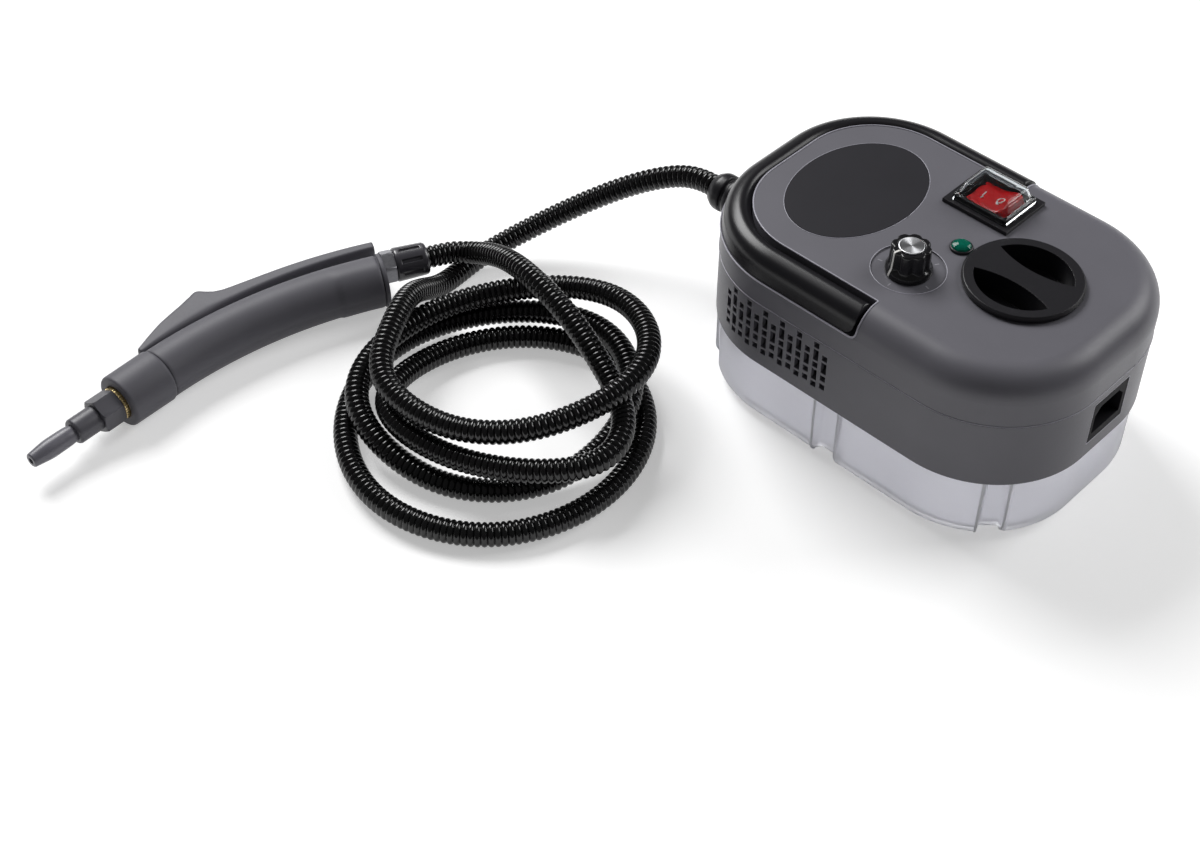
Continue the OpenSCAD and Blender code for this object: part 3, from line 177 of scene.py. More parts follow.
class StageSettings(bpy.types.PropertyGroup):
    """Floor, lights and camera"""
    floor: FloatVectorProperty(name="Floor", description="Colour of the floor", subtype="COLOR",
                               default=(0.86, 0.86, 0.86))
    lift: FloatProperty(name="Backdrop lift", description="Light added to the floor as seen, not cast",
                        default=0.41)
    key: FloatProperty(name="Key light", description="Power of the key light", default=92.0, unit="POWER")
    fill: FloatProperty(name="Fill light", description="Power of the fill light", default=38.0, unit="POWER")
    sky: FloatProperty(name="Sky", description="Strength of the even light all round", default=0.1)
    lens: FloatProperty(name="Lens", description="Focal length of the camera on a 36 mm wide frame",
                        default=60.0)
    azimuth: FloatProperty(name="Azimuth", description="Heading of the camera", default=math.radians(44.2),
                           subtype="ANGLE")
    pitch: FloatProperty(name="Pitch", description="Camera's look down", default=math.radians(45.2),
                         subtype="ANGLE")
    place: FloatVectorProperty(name="Place", description="Place of the camera", subtype="TRANSLATION",
                               default=(0.4183, -0.6745, 0.7573))


class SteamCleanerSettings(bpy.types.PropertyGroup):
    """All the settings of the steam cleaner"""
    hose: PointerProperty(type=HoseSettings)
    body: PointerProperty(type=BodySettings)
    controls: PointerProperty(type=ControlSettings)
    gun: PointerProperty(type=GunSettings)
    stage: PointerProperty(type=StageSettings)


# Meshes

def quads(rows, columns, ring):
    """Faces of a grid: face (i, j) joins rows i and i + 1 and columns j and j + 1. The columns close on
    themselves, and in a ring the rows do so too."""
    i = np.arange(rows if ring else rows - 1)[:, None]
    j = np.arange(columns)[None, :]
    i2, j2 = (i + 1) % rows, (j + 1) % columns
    here, there = i * columns, i2 * columns
    return np.stack([here + j, here + j2, there + j2, there + j], -1).reshape(-1, 4)


def piece(name, grids, finish, replaces=(), body="base", sharp=38.0, ring=False):
    """One mesh from a grid of points in millimetres, or from a list of grids, with the finish of that name.
    Points that meet are merged, which closes seams and poles, and the faces are turned outwards."""
    points, faces, count = [], [], 0
    for grid in grids if isinstance(grids, list) else [grids]:
        rows, columns = grid.shape[:2]
        points.append(grid.reshape(-1, 3) * MM)
        faces.append(quads(rows, columns, ring) + count)
        count += rows * columns
    mesh = bpy.data.meshes.new(name)
    mesh.from_pydata(np.concatenate(points), [], np.concatenate(faces))
    work = bmesh.new()
    work.from_mesh(mesh)
    bmesh.ops.remove_doubles(work, verts=work.verts, dist=2e-6)
    bmesh.ops.dissolve_degenerate(work, edges=work.edges, dist=1e-7)
    bmesh.ops.recalc_face_normals(work, faces=work.faces)
    work.to_mesh(mesh)
    work.free()
    mesh.shade_smooth()
    mesh.set_sharp_from_angle(angle=math.radians(sharp))
    made = bpy.data.objects.new(name, mesh)
    bpy.context.scene.collection.objects.link(made)
    mesh.materials.append(bpy.data.materials[finish])
    if replaces:
        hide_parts(*replaces)
    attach(made, body)
    return made


def arc(centre, radius, first, last, count):
    """Points c + r (cos a, sin a) for the angle a from first to last, in degrees."""
    a = np.radians(np.linspace(first, last, count))
    return np.asarray(centre) + radius * np.stack([np.cos(a), np.sin(a)], -1)


def circle(count):
    """Angles at even steps round a full turn."""
    return np.linspace(0, 2 * np.pi, count, endpoint=False)


def rounded(corners, steps=6, closed=False):
    """Line through corners (x, y, radius), each replaced by a curve q(t) = (1-t)^2 a + 2t(1-t) c + t^2 b
    between the points a and b that lie on its two sides at its radius from the corner c."""
    rows = np.asarray(corners, float)
    corners, line = rows[:, :2], []
    for k, (c, r) in enumerate(zip(corners, rows[:, 2])):
        if r == 0 or (not closed and k in (0, len(corners) - 1)):
            line.append(c[None])
            continue
        before, after = corners[k - 1] - c, corners[(k + 1) % len(corners)] - c
        a = c + before * min(0.5, r / np.linalg.norm(before))
        b = c + after * min(0.5, r / np.linalg.norm(after))
        t = np.linspace(0, 1, steps)[:, None]
        line.append((1 - t) ** 2 * a + 2 * t * (1 - t) * c + t * t * b)
    return np.concatenate(line)


def lathe(profile, sides=64):
    """Surface of revolution: the point (r, h) of the profile goes round to (r cos a, r sin a, h)."""
    a = circle(sides)
    r, h = profile[:, :1], profile[:, 1:]
    return np.stack([r * np.cos(a), r * np.sin(a), np.broadcast_to(h, (len(profile), sides))], -1)


def capped(grid):
    """The grid with its first and last rows drawn together to their middles, which closes a tube."""
    first, last = grid[:1].mean(1, keepdims=True), grid[-1:].mean(1, keepdims=True)
    first, last = np.broadcast_to(first, grid[:1].shape), np.broadcast_to(last, grid[-1:].shape)
    return np.concatenate([first, grid, last])


def moved(grid, x, y, z=0.0):
    """The grid shifted by (x, y, z)."""
    return grid + np.array([x, y, z])


def level(plan, z):
    """Points (x, y) of a plan at the height z."""
    return np.c_[plan, np.full(len(plan), z)]


def turned(x, y, angle):
    """The point (x, y) turned by an angle in radians."""
    return x * math.cos(angle) - y * math.sin(angle), x * math.sin(angle) + y * math.cos(angle)


def tilted(grid, angle, at):
    """The grid turned in the XZ plane by an angle, then shifted."""
    x, z = turned(grid[..., 0], grid[..., 2], angle)
    return moved(np.stack([x, grid[..., 1], z], -1), *at)


def ease(t):
    """Smooth step: t^2 (3 - 2t) for t from 0 to 1."""
    t = np.clip(t, 0, 1)
    return t * t * (3 - 2 * t)


def base_ring(along, across, round_n):
    """Middles m and outward normals n of the base unit's rounded oblong: a ring at the inset e is
    m + (R - e) n. The middles run round the oblong of the corners' centres, and the normals turn there."""
    x, y = HALF_L - CORNER_R, HALF_W - CORNER_R
    centres = np.array([(x, y), (-x, y), (-x, -y), (x, -y)])
    middles, normals = [], []
    for q in range(4):
        turn = arc((0, 0), 1, 90 * q, 90 * q + 90, round_n)
        middles.append(np.broadcast_to(centres[q], turn.shape))
        normals.append(turn)
        run = np.linspace(0, 1, (along if q % 2 == 0 else across) + 2)[1:-1, None]
        middles.append(centres[q] * (1 - run) + centres[(q + 1) % 4] * run)
        normals.append(np.broadcast_to(turn[-1], run.shape[:1] + (2,)))
    return np.concatenate(middles), np.concatenate(normals)


def oblong(half_x, half_y, r):
    """Ring of a rounded rectangle: four arcs of radius r round its corners' centres."""
    x, y = half_x - r, half_y - r
    centres = [(x, y), (-x, y), (-x, -y), (x, -y)]
    return np.concatenate([arc(c, r, 90 * q, 90 * q + 90, 8) for q, c in enumerate(centres)])


def stacked(rings):
    """Grid of rings: each is (half_x, half_y, corner radius, height)."""
    return np.array([level(oblong(a, b, r), h) for a, b, r, h in rings])


def gun_space(points):
    """Points (s, n, z) of the gun's frame in the object's frame: GUN_AT + s d + n e + z up."""
    x, y = turned(points[..., 0], points[..., 1], math.radians(GUN_TURN))
    return moved(np.stack([x, y, points[..., 2]], -1), *GUN_AT)


def along_bend(angle, height, z):
    """Points on the gun's bend, angle in degrees, at a height over its middle line to the trigger's side:
    s = L + (R + h) sin a, n = (R + h) cos a - R."""
    a = np.radians(angle)
    return np.stack(np.broadcast_arrays(COLLAR_LEN + (BEND_R + height) * np.sin(a),
                                        (BEND_R + height) * np.cos(a) - BEND_R, z), -1)


def barrel_turned(grid, s=0.0):
    """A lathed grid laid along the barrel, its height along s: (x, y, h) goes to (s + h, y, -x)."""
    return gun_space(np.stack([s + grid[..., 2], grid[..., 1], -grid[..., 0]], -1))


def behind_cap(grid, distance):
    """A lathed grid laid on the hose fitting's axis, its height to the rear from the rear cap's face."""
    a = math.radians(BEND_A)
    s, n = turned(grid[..., 2] + REAR_CAP_T + distance, grid[..., 1] + HOSE_STEP, -a)
    return gun_space(np.stack([COLLAR_LEN + BEND_R * math.sin(a) + s, BEND_R * (math.cos(a) - 1) + n,
                               HOSE_RISE - grid[..., 0]], -1))


def hexagon(radius, chamfer, length):
    """Hexagonal nut on its axis: radius(a) = r cos 30 / cos(a mod 60 - 30), with a cone at both ends."""
    a = circle(120)
    flat = radius * math.cos(math.pi / 6) / np.cos(np.mod(a, math.pi / 3) - math.pi / 6)
    cone = radius - chamfer
    low, high = 0.15 * chamfer, 0.6 * chamfer
    heights = np.array([0, low, high, length - high, length - low, length])
    limits = np.array([cone, cone + 0.4 * chamfer, radius, radius, cone + 0.4 * chamfer, cone])
    r = np.minimum(flat[None, :], limits[:, None])
    return np.stack([r * np.cos(a), r * np.sin(a), np.broadcast_to(heights[:, None], r.shape)], -1)


# Finishes

def new_finish(name):
    """A material, its shader and object coordinates, a maker of nodes, and a function that sets a node's
    inputs by name and links what comes from a node."""
    finish = bpy.data.materials.new(name)
    finish.use_nodes = True
    tree = finish.node_tree

    def node(kind, out=0, settings=None, **inputs):
        made = tree.nodes.new(kind)
        for key, value in (settings or {}).items():
            setattr(made, key, value)
        wire(made, **inputs)
        return made.outputs[out]

    def wire(target, **inputs):
        for key, value in inputs.items():
            socket = target.inputs[key.replace("_", " ")]
            if isinstance(value, bpy.types.NodeSocket):
                tree.links.new(value, socket)
            else:
                socket.default_value = value

    return finish, tree.nodes["Principled BSDF"], node("ShaderNodeTexCoord", 3), node, wire


def tinted(colour, share):
    """The colour times a share, with its alpha."""
    return tuple(min(1.0, c * share) for c in colour[:3]) + (1.0,)


def two_tone(node, factor, colour, low, high):
    """Colour that runs from its low share to its high share as the factor goes from 0.3 to 0.7."""
    ramp = node("ShaderNodeValToRGB", Fac=factor)
    stops = ramp.node.color_ramp.elements
    stops[0].position, stops[1].position = 0.3, 0.7
    stops[0].color, stops[1].color = tinted(colour, low), tinted(colour, high)
    return ramp


def moulded(name, colour, rough, grain, depth, mottle, soft=0.0005, spread=0.05, coat=0.0, shine=0.5):
    """Moulded plastic: mottled colour, uneven gloss, a fine grain as bump and edges a little softened."""
    finish, shader, place, node, wire = new_finish(name)
    broad = node("ShaderNodeTexNoise", Vector=place, Scale=38.0, Detail=4.0, Roughness=0.6)
    fine = node("ShaderNodeTexNoise", Vector=place, Scale=grain, Detail=2.0, Roughness=0.5)
    edge = node("ShaderNodeBevel", settings={"samples": 4}, Radius=soft)
    wire(shader, Specular_IOR_Level=shine, Coat_Weight=coat, Coat_Roughness=0.2,
         Base_Color=two_tone(node, broad, colour, 1 - mottle, 1 + mottle),
         Roughness=node("ShaderNodeMapRange", Value=fine, From_Min=0.25, From_Max=0.75, To_Min=rough - spread,
                        To_Max=rough + spread),
         Normal=node("ShaderNodeBump", Height=fine, Strength=0.35, Distance=depth, Normal=edge))
    return finish


def metal(name, colour, rough, stretch):
    """Machined metal: fine lines from noise that is stretched one way, in colour, gloss and bump."""
    finish, shader, place, node, wire = new_finish(name)
    lines = node("ShaderNodeTexNoise", Vector=node("ShaderNodeMapping", Vector=place, Scale=stretch),
                 Scale=1400.0, Detail=3.0, Roughness=0.6)
    edge = node("ShaderNodeBevel", settings={"samples": 4}, Radius=0.0003)
    wire(shader, Metallic=1.0, Base_Color=two_tone(node, lines, colour, 0.82, 1.08),
         Roughness=node("ShaderNodeMapRange", Value=lines, To_Min=rough - 0.08, To_Max=rough + 0.1),
         Normal=node("ShaderNodeBump", Height=lines, Strength=0.25, Distance=0.00003, Normal=edge))
    return finish


def spun(name, colour, centre):
    """Spun metal disc: fine rings round its centre in colour and bump, with gloss drawn out round them."""
    finish, shader, place, node, wire = new_finish(name)
    middle = node("ShaderNodeMapping", Vector=place, Location=(-centre[0] * MM, -centre[1] * MM, 0.0))
    rings = node("ShaderNodeTexWave", Vector=middle, Scale=900.0, Distortion=1.5, Detail=2.0,
                 settings={"wave_type": "RINGS", "rings_direction": "Z"})
    wire(shader, Metallic=1.0, Roughness=0.32, Anisotropic=0.8,
         Base_Color=two_tone(node, rings, colour, 0.85, 1.05),
         Normal=node("ShaderNodeBump", Height=rings, Strength=0.2, Distance=0.00002),
         Tangent=node("ShaderNodeTangent", settings={"direction_type": "RADIAL", "axis": "Z"}))
    return finish


def frosted(name, colour):
    """Frosted plastic: clouded colour, most of the light let through, and a soft grain."""
    finish, shader, place, node, wire = new_finish(name)
    cloud = node("ShaderNodeTexNoise", Vector=place, Scale=22.0, Detail=5.0, Roughness=0.6)
    fine = node("ShaderNodeTexNoise", Vector=place, Scale=1500.0, Detail=2.0)
    wire(shader, Transmission_Weight=0.75, IOR=1.12, Base_Color=two_tone(node, cloud, colour, 0.96, 1.03),
         Normal=node("ShaderNodeBump", Height=fine, Strength=0.3, Distance=0.00003),
         Roughness=node("ShaderNodeMapRange", Value=fine, To_Min=0.42, To_Max=0.58))
    return finish


def clear(name, colour, rough, tint_low=0.97, through=1.0, shine=0.5):
    """Clear plastic: light passes through it, with faint streaks and small dents of the mould."""
    finish, shader, place, node, wire = new_finish(name)
    dents = node("ShaderNodeTexNoise", Vector=place, Scale=160.0, Detail=2.0)
    wire(shader, Transmission_Weight=through, IOR=1.3, Specular_IOR_Level=shine,
         Base_Color=two_tone(node, dents, colour, tint_low, 1.0),
         Normal=node("ShaderNodeBump", Height=dents, Strength=0.15, Distance=0.0002),
         Roughness=node("ShaderNodeMapRange", Value=dents, To_Min=rough, To_Max=rough + 0.06))
    return finish


def make_finishes(settings):
    """Every finish by its name. A plastic's row has its colour, roughness, grain, depth of grain, mottle and
    the rest of what moulded takes; a metal's has its colour, roughness and stretch."""
    grey, black, charcoal = settings.body.grey, settings.body.black, settings.gun.colour
    plastics = {
        "housing_grey": (grey, 0.42, 1300.0, 4e-5, 0.03, {}),
        "trim_black": (black, 0.34, 1500.0, 2e-5, 0.08, {"shine": 0.4}),
        "handle_black": (tinted(black, 0.8), 0.29, 2600.0, 1e-6, 0.08, {"spread": 0.02, "shine": 0.35}),
        "inlet_black": (tinted(black, 0.7), 0.6, 1500.0, 2e-5, 0.08, {"shine": 0.1}),
        # Ferrule: black trim lifted 3.2 times, a painted sheen for the broad reflection on its top
        "ferrule_painted_sheen": (tinted(black, 3.2), 0.36, 900.0, 1e-5, 0.1, {"coat": 0.6}),
        # Edge beads' grey, 2.9 times the housing's: painted highlights along the edges
        "painted_highlight_grey": (tinted(grey, 2.9), 0.3, 1300.0, 2e-5, 0.03, {"soft": 0.0001}),
        # Channel beads' opaque pale white: painted highlights for the bright lines at the tank's channels
        "painted_highlight_frost": (linear(236, 237, 241), 0.4, 1300.0, 2e-5, 0.03, {"soft": 0.0002}),
        "knob_black": (tinted(black, 0.55), 0.2, 700.0, 1e-5, 0.1, {"soft": 0.0003}),
        "label_dark": (settings.body.label, 0.45, 2200.0, 1e-5, 0.05, {"soft": 0.0002, "shine": 0.25}),
        "hose_black": (settings.hose.colour, 0.17, 600.0, 1e-5, 0.25, {"soft": 0.0002}),
        "gun_charcoal": (charcoal, 0.55, 1700.0, 4e-5, 0.05, {"soft": 0.0006}),
        "nozzle_charcoal": (tinted(charcoal, 0.85), 0.42, 1200.0, 3e-5, 0.1, {"soft": 0.0003}),
        "tip_grey": (tinted(charcoal, 1.45), 0.36, 1200.0, 2e-5, 0.1, {"soft": 0.0003}),
        "rocker_red": (settings.controls.red, 0.22, 500.0, 1e-5, 0.08, {"soft": 0.0004, "coat": 0.4}),
        "mark_white": (linear(232, 230, 226), 0.5, 2000.0, 1e-5, 0.04, {"soft": 0.0001}),
        "mark_faint": (linear(150, 149, 156), 0.5, 2000.0, 1e-5, 0.06, {"soft": 0.0001}),
        "rubber_black": (linear(34, 34, 35), 0.72, 1000.0, 6e-5, 0.1, {}),
        "plastic_white": (linear(222, 221, 216), 0.5, 900.0, 4e-5, 0.04, {}),
        "silicone": (linear(230, 227, 218), 0.35, 400.0, 3e-5, 0.04, {}),
        "pump_blue": (linear(70, 80, 90), 0.5, 900.0, 4e-5, 0.08, {}),
        "ceramic": (linear(206, 188, 150), 0.6, 700.0, 5e-5, 0.08, {}),
        "board_green": (linear(46, 108, 70), 0.35, 300.0, 3e-5, 0.2, {}),
    }
    metals = {
        "steel": (linear(206, 206, 210), 0.42, (1.0, 0.2, 1.0)),
        "nut_grey": (linear(150, 150, 155), 0.42, (1.0, 0.2, 1.0)),
        "cast_aluminium": (linear(196, 198, 201), 0.46, (1.0, 1.0, 1.0)),
        "brass": (linear(206, 164, 92), 0.3, (0.3, 1.0, 1.0)),
    }
    made = {name: moulded(name, *row[:-1], **row[-1]) for name, row in plastics.items()}
    made.update({name: metal(name, *row) for name, row in metals.items()})
    made["spun_disc"] = spun("spun_disc", linear(226, 227, 230), KNOB_AT)
    made["tank_frost"] = frosted("tank_frost", settings.body.frost)
    made["cover_clear"] = clear("cover_clear", linear(240, 244, 246), 0.03, shine=0.3)
    made["lens_green"] = clear("lens_green", settings.controls.green, 0.04, 0.6, 0.5)
    made["bulb_glass"] = clear("bulb_glass", linear(236, 228, 208), 0.2)
    return made


NODE_FINISHES = {
    "housing_grey": ["mid_housing", "top_cover"],
    "tank_frost": ["tank", "filler_neck"],
    "trim_black": ["lamp_rim", "switch_body", "filler_cap", "hose_gland", "gland_nut", "gun_switch"],
    "handle_black": ["carry_handle"],
    "inlet_black": ["power_inlet"],
    "ferrule_painted_sheen": ["hose_ferrule"],
    "knob_black": ["control_knob"],
    "label_dark": ["label_plate"],
    "gun_charcoal": ["gun_upper_shell", "gun_lower_shell", "gun_collar", "gun_rear_cap", "gun_trigger"],
    "nozzle_charcoal": ["nozzle_nut", "nozzle_adapter"],
    "tip_grey": ["nozzle_tip"],
    "hose_black": ["hose_base_run", "hose_coil", "hose_gun_run"],
    "rocker_red": ["switch_rocker"],
    "lens_green": ["lamp_lens"],
    "bulb_glass": ["lamp_bulb"],
    "cover_clear": ["switch_shield"],
    "plastic_white": ["strainer", "boiler_spacers", "intake_filter", "switch_plunger"],
    "silicone": ["intake_tube", "feed_tube", "steam_tube", "gun_tube"],
    "rubber_black": ["tank_seal", "cap_seal", "pump_mounts"],
    "steel": ["handle_pins", "pot_shaft", "potentiometer", "inlet_pins", "thermostat", "cover_screws",
              "trigger_pin", "trigger_spring", "gun_screws", "hose_nut"],
    "cast_aluminium": ["boiler"],
    "spun_disc": ["knob_disc"],
    "brass": ["brass_outlet"],
    "pump_blue": ["pump"],
    "ceramic": ["thermal_fuse"],
    "board_green": ["control_board"],
}


# Hose

def hose_points():
    """Route of the hose in millimetres: the points of its first run, the coil's turns, where point i lies at
    its radius from the coil's middle at the angle start + i step, and the points of its last run, which ends
    at the gun."""
    loops = np.array(COIL_LOOPS, float)
    a = np.radians(COIL_START + COIL_STEP * np.arange(len(loops)))
    out = COIL_GROW * loops[:, 0]
    coil = np.c_[COIL_AT[0] + out * np.cos(a), COIL_AT[1] + out * np.sin(a), loops[:, 1]]
    end = behind_cap(np.array([[[0.0, 0.0, HOSE_NUT_LEN + FERRULE_LEN]]]), 0.0)[0, 0]
    heading = math.radians(GUN_TURN - BEND_A)
    back = np.array([math.cos(heading), math.sin(heading), 0.0])
    return np.concatenate([BASE_ROUTE, coil, GUN_ROUTE, [end + k * HOSE_LEAD * back for k in (2, 1, 0)]])


def smooth_route(route, steps):
    """Cubic B-spline of a route, mirrored past its ends: p(t) = ((1-t)^3 a + (3t^3-6t^2+4) b +
    (-3t^3+3t^2+3t+1) c + t^3 d) / 6 between the points b and c."""
    p = np.concatenate([2 * route[:1] - route[1:2], route, 2 * route[-1:] - route[-2:-1]])
    t = np.linspace(0, 1, steps, endpoint=False)[None, :, None]
    a, b, c, d = (p[k:len(p) - 3 + k, None] for k in range(4))
    line = ((1 - t) ** 3 * a + (3 * t ** 3 - 6 * t * t + 4) * b + (-3 * t ** 3 + 3 * t * t + 3 * t + 1) * c
            + t ** 3 * d) / 6
    last = (p[-3] + 4 * p[-2] + p[-1]) / 6
    return np.concatenate([line.reshape(-1, 3), last[None]])


def spaced(line, count):
    """Points at even lengths along a line, with its length."""
    lengths = np.concatenate([[0], np.cumsum(np.linalg.norm(np.diff(line, axis=0), axis=1))])
    at = np.linspace(0, lengths[-1], count)
    return np.stack([np.interp(at, lengths, line[:, k]) for k in range(3)], -1), lengths[-1]


def tube(line, radii, sides, side=None):
    """Tube round a line: point j of ring i is p + r (cos a side + sin a up), with up square to both. The side
    is level, or as given where the line runs upright."""
    along = np.gradient(line, axis=0)
    along /= np.linalg.norm(along, axis=1, keepdims=True)
    side = np.cross([0, 0, 1.0], along) if side is None else np.broadcast_to(side, along.shape)
    side = side / np.linalg.norm(side, axis=1, keepdims=True)
    up = np.cross(along, side)
    a = circle(sides)
    out = np.cos(a)[None, :, None] * side[:, None] + np.sin(a)[None, :, None] * up[:, None]
    return line[:, None] + np.broadcast_to(radii, len(line))[:, None, None] * out


def bead(line, radius, sides=8, side=None, closed=False):
    """Thin tube with closed ends; a closed line's tube laps over its first two points."""
    line = np.concatenate([line, line[:2]]) if closed else line
    return capped(tube(line, radius, sides, side))


class STEAM_OT_hose(bpy.types.Operator):
    """Ribbed hose from the gland through its coil to the gun"""
    bl_idname = "steam_cleaner.hose"
    bl_label = "Hose"

    def execute(self, context):
        """Each rib is one period of r(l) = R - depth (1 - |cos|^0.7): round crests and narrow grooves."""
        hose = context.scene.steam_cleaner.hose
        route = smooth_route(hose_points(), 40)
        _, length = spaced(route, 2)
        ribs = round(length * MM / hose.rib_pitch)
        rings = RIB_RINGS * ribs + 1
        line, length = spaced(route, rings)
        phase = np.pi * np.arange(rings) / RIB_RINGS
        radii = (hose.radius - hose.rib_depth * (1 - np.abs(np.cos(phase)) ** 0.7)) / MM
        made = piece("hose", bead(line, radii, 20), "hose_black",
                     ("hose_base_run", "hose_coil", "hose_gun_run"), sharp=60)
        return {"FINISHED"}


# Base unit

class STEAM_OT_tank(bpy.types.Operator):
    """Frosted water tank with upright channels between its lobes"""
    bl_idname = "steam_cleaner.tank"
    bl_label = "Tank"

    def execute(self, context):
        """A wall carried round the base ring; a channel draws it in by depth ease((w - t) / b) at the
        distance t from the channel's middle. A bead follows the wall along each edge of a channel, opaque and
        pale: a painted highlight for the bright line along that edge."""
        depth = context.scene.steam_cleaner.body.channel_d / MM
        middles, normals = base_ring(140, 16, 90)
        corner = np.abs(np.degrees(np.arctan2(np.abs(normals[:, 1]), np.abs(normals[:, 0]))) - 45)
        from_corner = np.radians(corner) * (CORNER_R - TANK_IN)
        from_middle = np.where(np.abs(normals[:, 1]) > 0.999, np.abs(middles[:, 0] - CHANNEL_X), np.inf)
        apart = np.minimum(from_corner, from_middle)
        dent = depth * ease((CHANNEL_W - apart) / CHANNEL_BEVEL)
        rows = np.concatenate([arc((FOOT_R, FOOT_R), FOOT_R, 270, 180, 12),
                               [(0, TANK_H - 0.5), (0.4, TANK_H), (2.1, TANK_H), (TANK_WALL, TANK_H - 0.5)],
                               arc((FOOT_R, FOOT_R), FOOT_R - TANK_WALL, 180, 270, 8)])
        inset = TANK_IN + dent[:, None]
        wall = np.array([level(middles + (CORNER_R - (inset + e)) * normals, h) for e, h in rows])
        piece("tank_lobes", capped(wall), "tank_frost", ("tank",))
        past = apart > CHANNEL_LIP
        lips = []
        for i in np.flatnonzero(past[:-1] != past[1:]):
            line, _ = spaced(wall[4:13, i], 40)
            lips.append(bead(line, CHANNEL_LIP_R, 10, (-normals[i, 1], normals[i, 0], 0.0)))
        # Opaque pale beads: painted highlights along the channels' edges
        piece("channel_highlight_lips", lips, "painted_highlight_frost", sharp=70)
        return {"FINISHED"}


def hose_end(places):
    """Middles and outward normals of the base ring from the places along its +Y side, round the hose end, to
    the same places along its -Y side."""
    sides = np.stack([places, np.full(len(places), HALF_W - CORNER_R)], -1)
    turn = arc((0, 0), 1, 90, 180, 40)[1:]
    low = np.linspace(HALF_W - CORNER_R, 0, 8)[1:]
    middles = np.concatenate([sides, np.broadcast_to([CORNER_R - HALF_L, HALF_W - CORNER_R], turn.shape),
                              np.stack([np.full(len(low), CORNER_R - HALF_L), low], -1)])
    normals = np.concatenate([np.broadcast_to([0.0, 1.0], sides.shape), turn,
                              np.broadcast_to([-1.0, 0.0], (len(low), 2))])
    flip = np.array([1.0, -1.0])
    return [np.concatenate([half, (half * flip)[-2::-1]]) for half in (middles, normals)]


def side_reach(z):
    """Reach of the cover's rounded side from the middle plane: W - r + sqrt(r^2 - h^2), h over the ledge."""
    return HALF_W - EDGE_R + np.sqrt(EDGE_R ** 2 - np.clip(z - LEDGE_Z, 0, EDGE_R) ** 2)


class STEAM_OT_edges(bpy.types.Operator):
    """Fine lips along the handle's recess, the housing's seam, the label, the dial and the inlet, painted as
    highlights
    """
    bl_idname = "steam_cleaner.edges"
    bl_label = "Edge lips"

    def execute(self, context):
        """Thin round beads: the recess's runs along its upper inner edge, down the quarter circle of each
        end, round a small corner and along its lower outer edge; the seam's runs round the base ring, the
        label's and the dial's round their rims. A block fills each corner of the recess, and a low frame runs
        round the inlet. Beads and frame are a grey far lighter than the housing: painted highlights on these
        edges."""
        corner = arc((NOTCH_X - NOTCH_R, LEDGE_Z + NOTCH_R), NOTCH_R, 0, -90, 10)
        middles, normals = hose_end(np.linspace(NOTCH_X, CORNER_R - HALF_L, 24))
        inner = level(middles + (CORNER_R - LEDGE_W - HANDLE_ROOM) * normals, TOP_Z)
        middles, normals = hose_end(np.linspace(NOTCH_X - NOTCH_R, CORNER_R - HALF_L, 24))
        lower = level(middles + CORNER_R * normals, LEDGE_Z)
        fall = LEDGE_Z + np.sqrt(EDGE_R ** 2 - np.linspace(0.5, EDGE_R - 0.54, 16) ** 2)
        fall = np.concatenate([np.c_[np.full(16, NOTCH_X), fall], corner[:-1]])
        down = np.stack([fall[:, 0], -side_reach(fall[:, 1]), fall[:, 1]], -1)
        up = down[::-1] * np.array([1.0, -1.0, 1.0])
        recess, _ = spaced(np.concatenate([inner, down, lower[::-1], up, inner[:2]]), 900)
        # Recess bead in the lighter grey: painted highlight along the recess's edges
        piece("recess_highlight_lip", bead(recess, RECESS_LIP_R), "painted_highlight_grey", sharp=70)
        wedge = np.concatenate([corner, [(NOTCH_X + 0.05, LEDGE_Z - 0.05)]])
        block = np.stack([np.c_[wedge[:, 0], y, wedge[:, 1]]
                          for y in (np.full(len(wedge), HALF_W - LEDGE_W), side_reach(wedge[:, 1]) - 0.03)])
        both = [capped(block * np.array([1.0, s, 1.0])) for s in (-1.0, 1.0)]
        piece("recess_corners", both, "housing_grey")
        sill = stacked([(15.3, 13.55, 1.0, -0.3), (15.3, 13.55, 1.0, 0.1), (14.9, 13.15, 0.8, 0.1),
                        (14.9, 13.15, 0.8, -0.3)])
        sill = np.stack([HALF_L + sill[..., 2], sill[..., 0], INLET_Z + sill[..., 1]], -1)
        # Inlet frame in the lighter grey: painted highlight round the inlet
        piece("inlet_highlight_lip", sill, "painted_highlight_grey", ring=True)
        middles, normals = base_ring(40, 6, 48)
        seam = level(middles + (CORNER_R + 0.02) * normals, SEAM_Z)
        reach = np.array([LABEL_RX + LABEL_GAP, LABEL_RY + LABEL_GAP])
        oval = arc((LABEL_X, 0), reach, 0, 360, 121)[:-1]
        rim = arc((DIAL_R, RIM_LIP_Z), RIM_LIP_R, 0, 360, 11)
        # Seam, label and dial beads in the lighter grey: painted highlights on these rims
        lips = {
            "seam_highlight_lip": bead(seam, SEAM_LIP_R, closed=True),
            "label_highlight_lip": bead(level(oval, RIM_LIP_Z), RIM_LIP_R, closed=True),
            "dial_highlight_lip": moved(lathe(rim, 120), *KNOB_AT),
        }
        for name, grid in lips.items():
            piece(name, grid, "painted_highlight_grey", sharp=70)
        return {"FINISHED"}


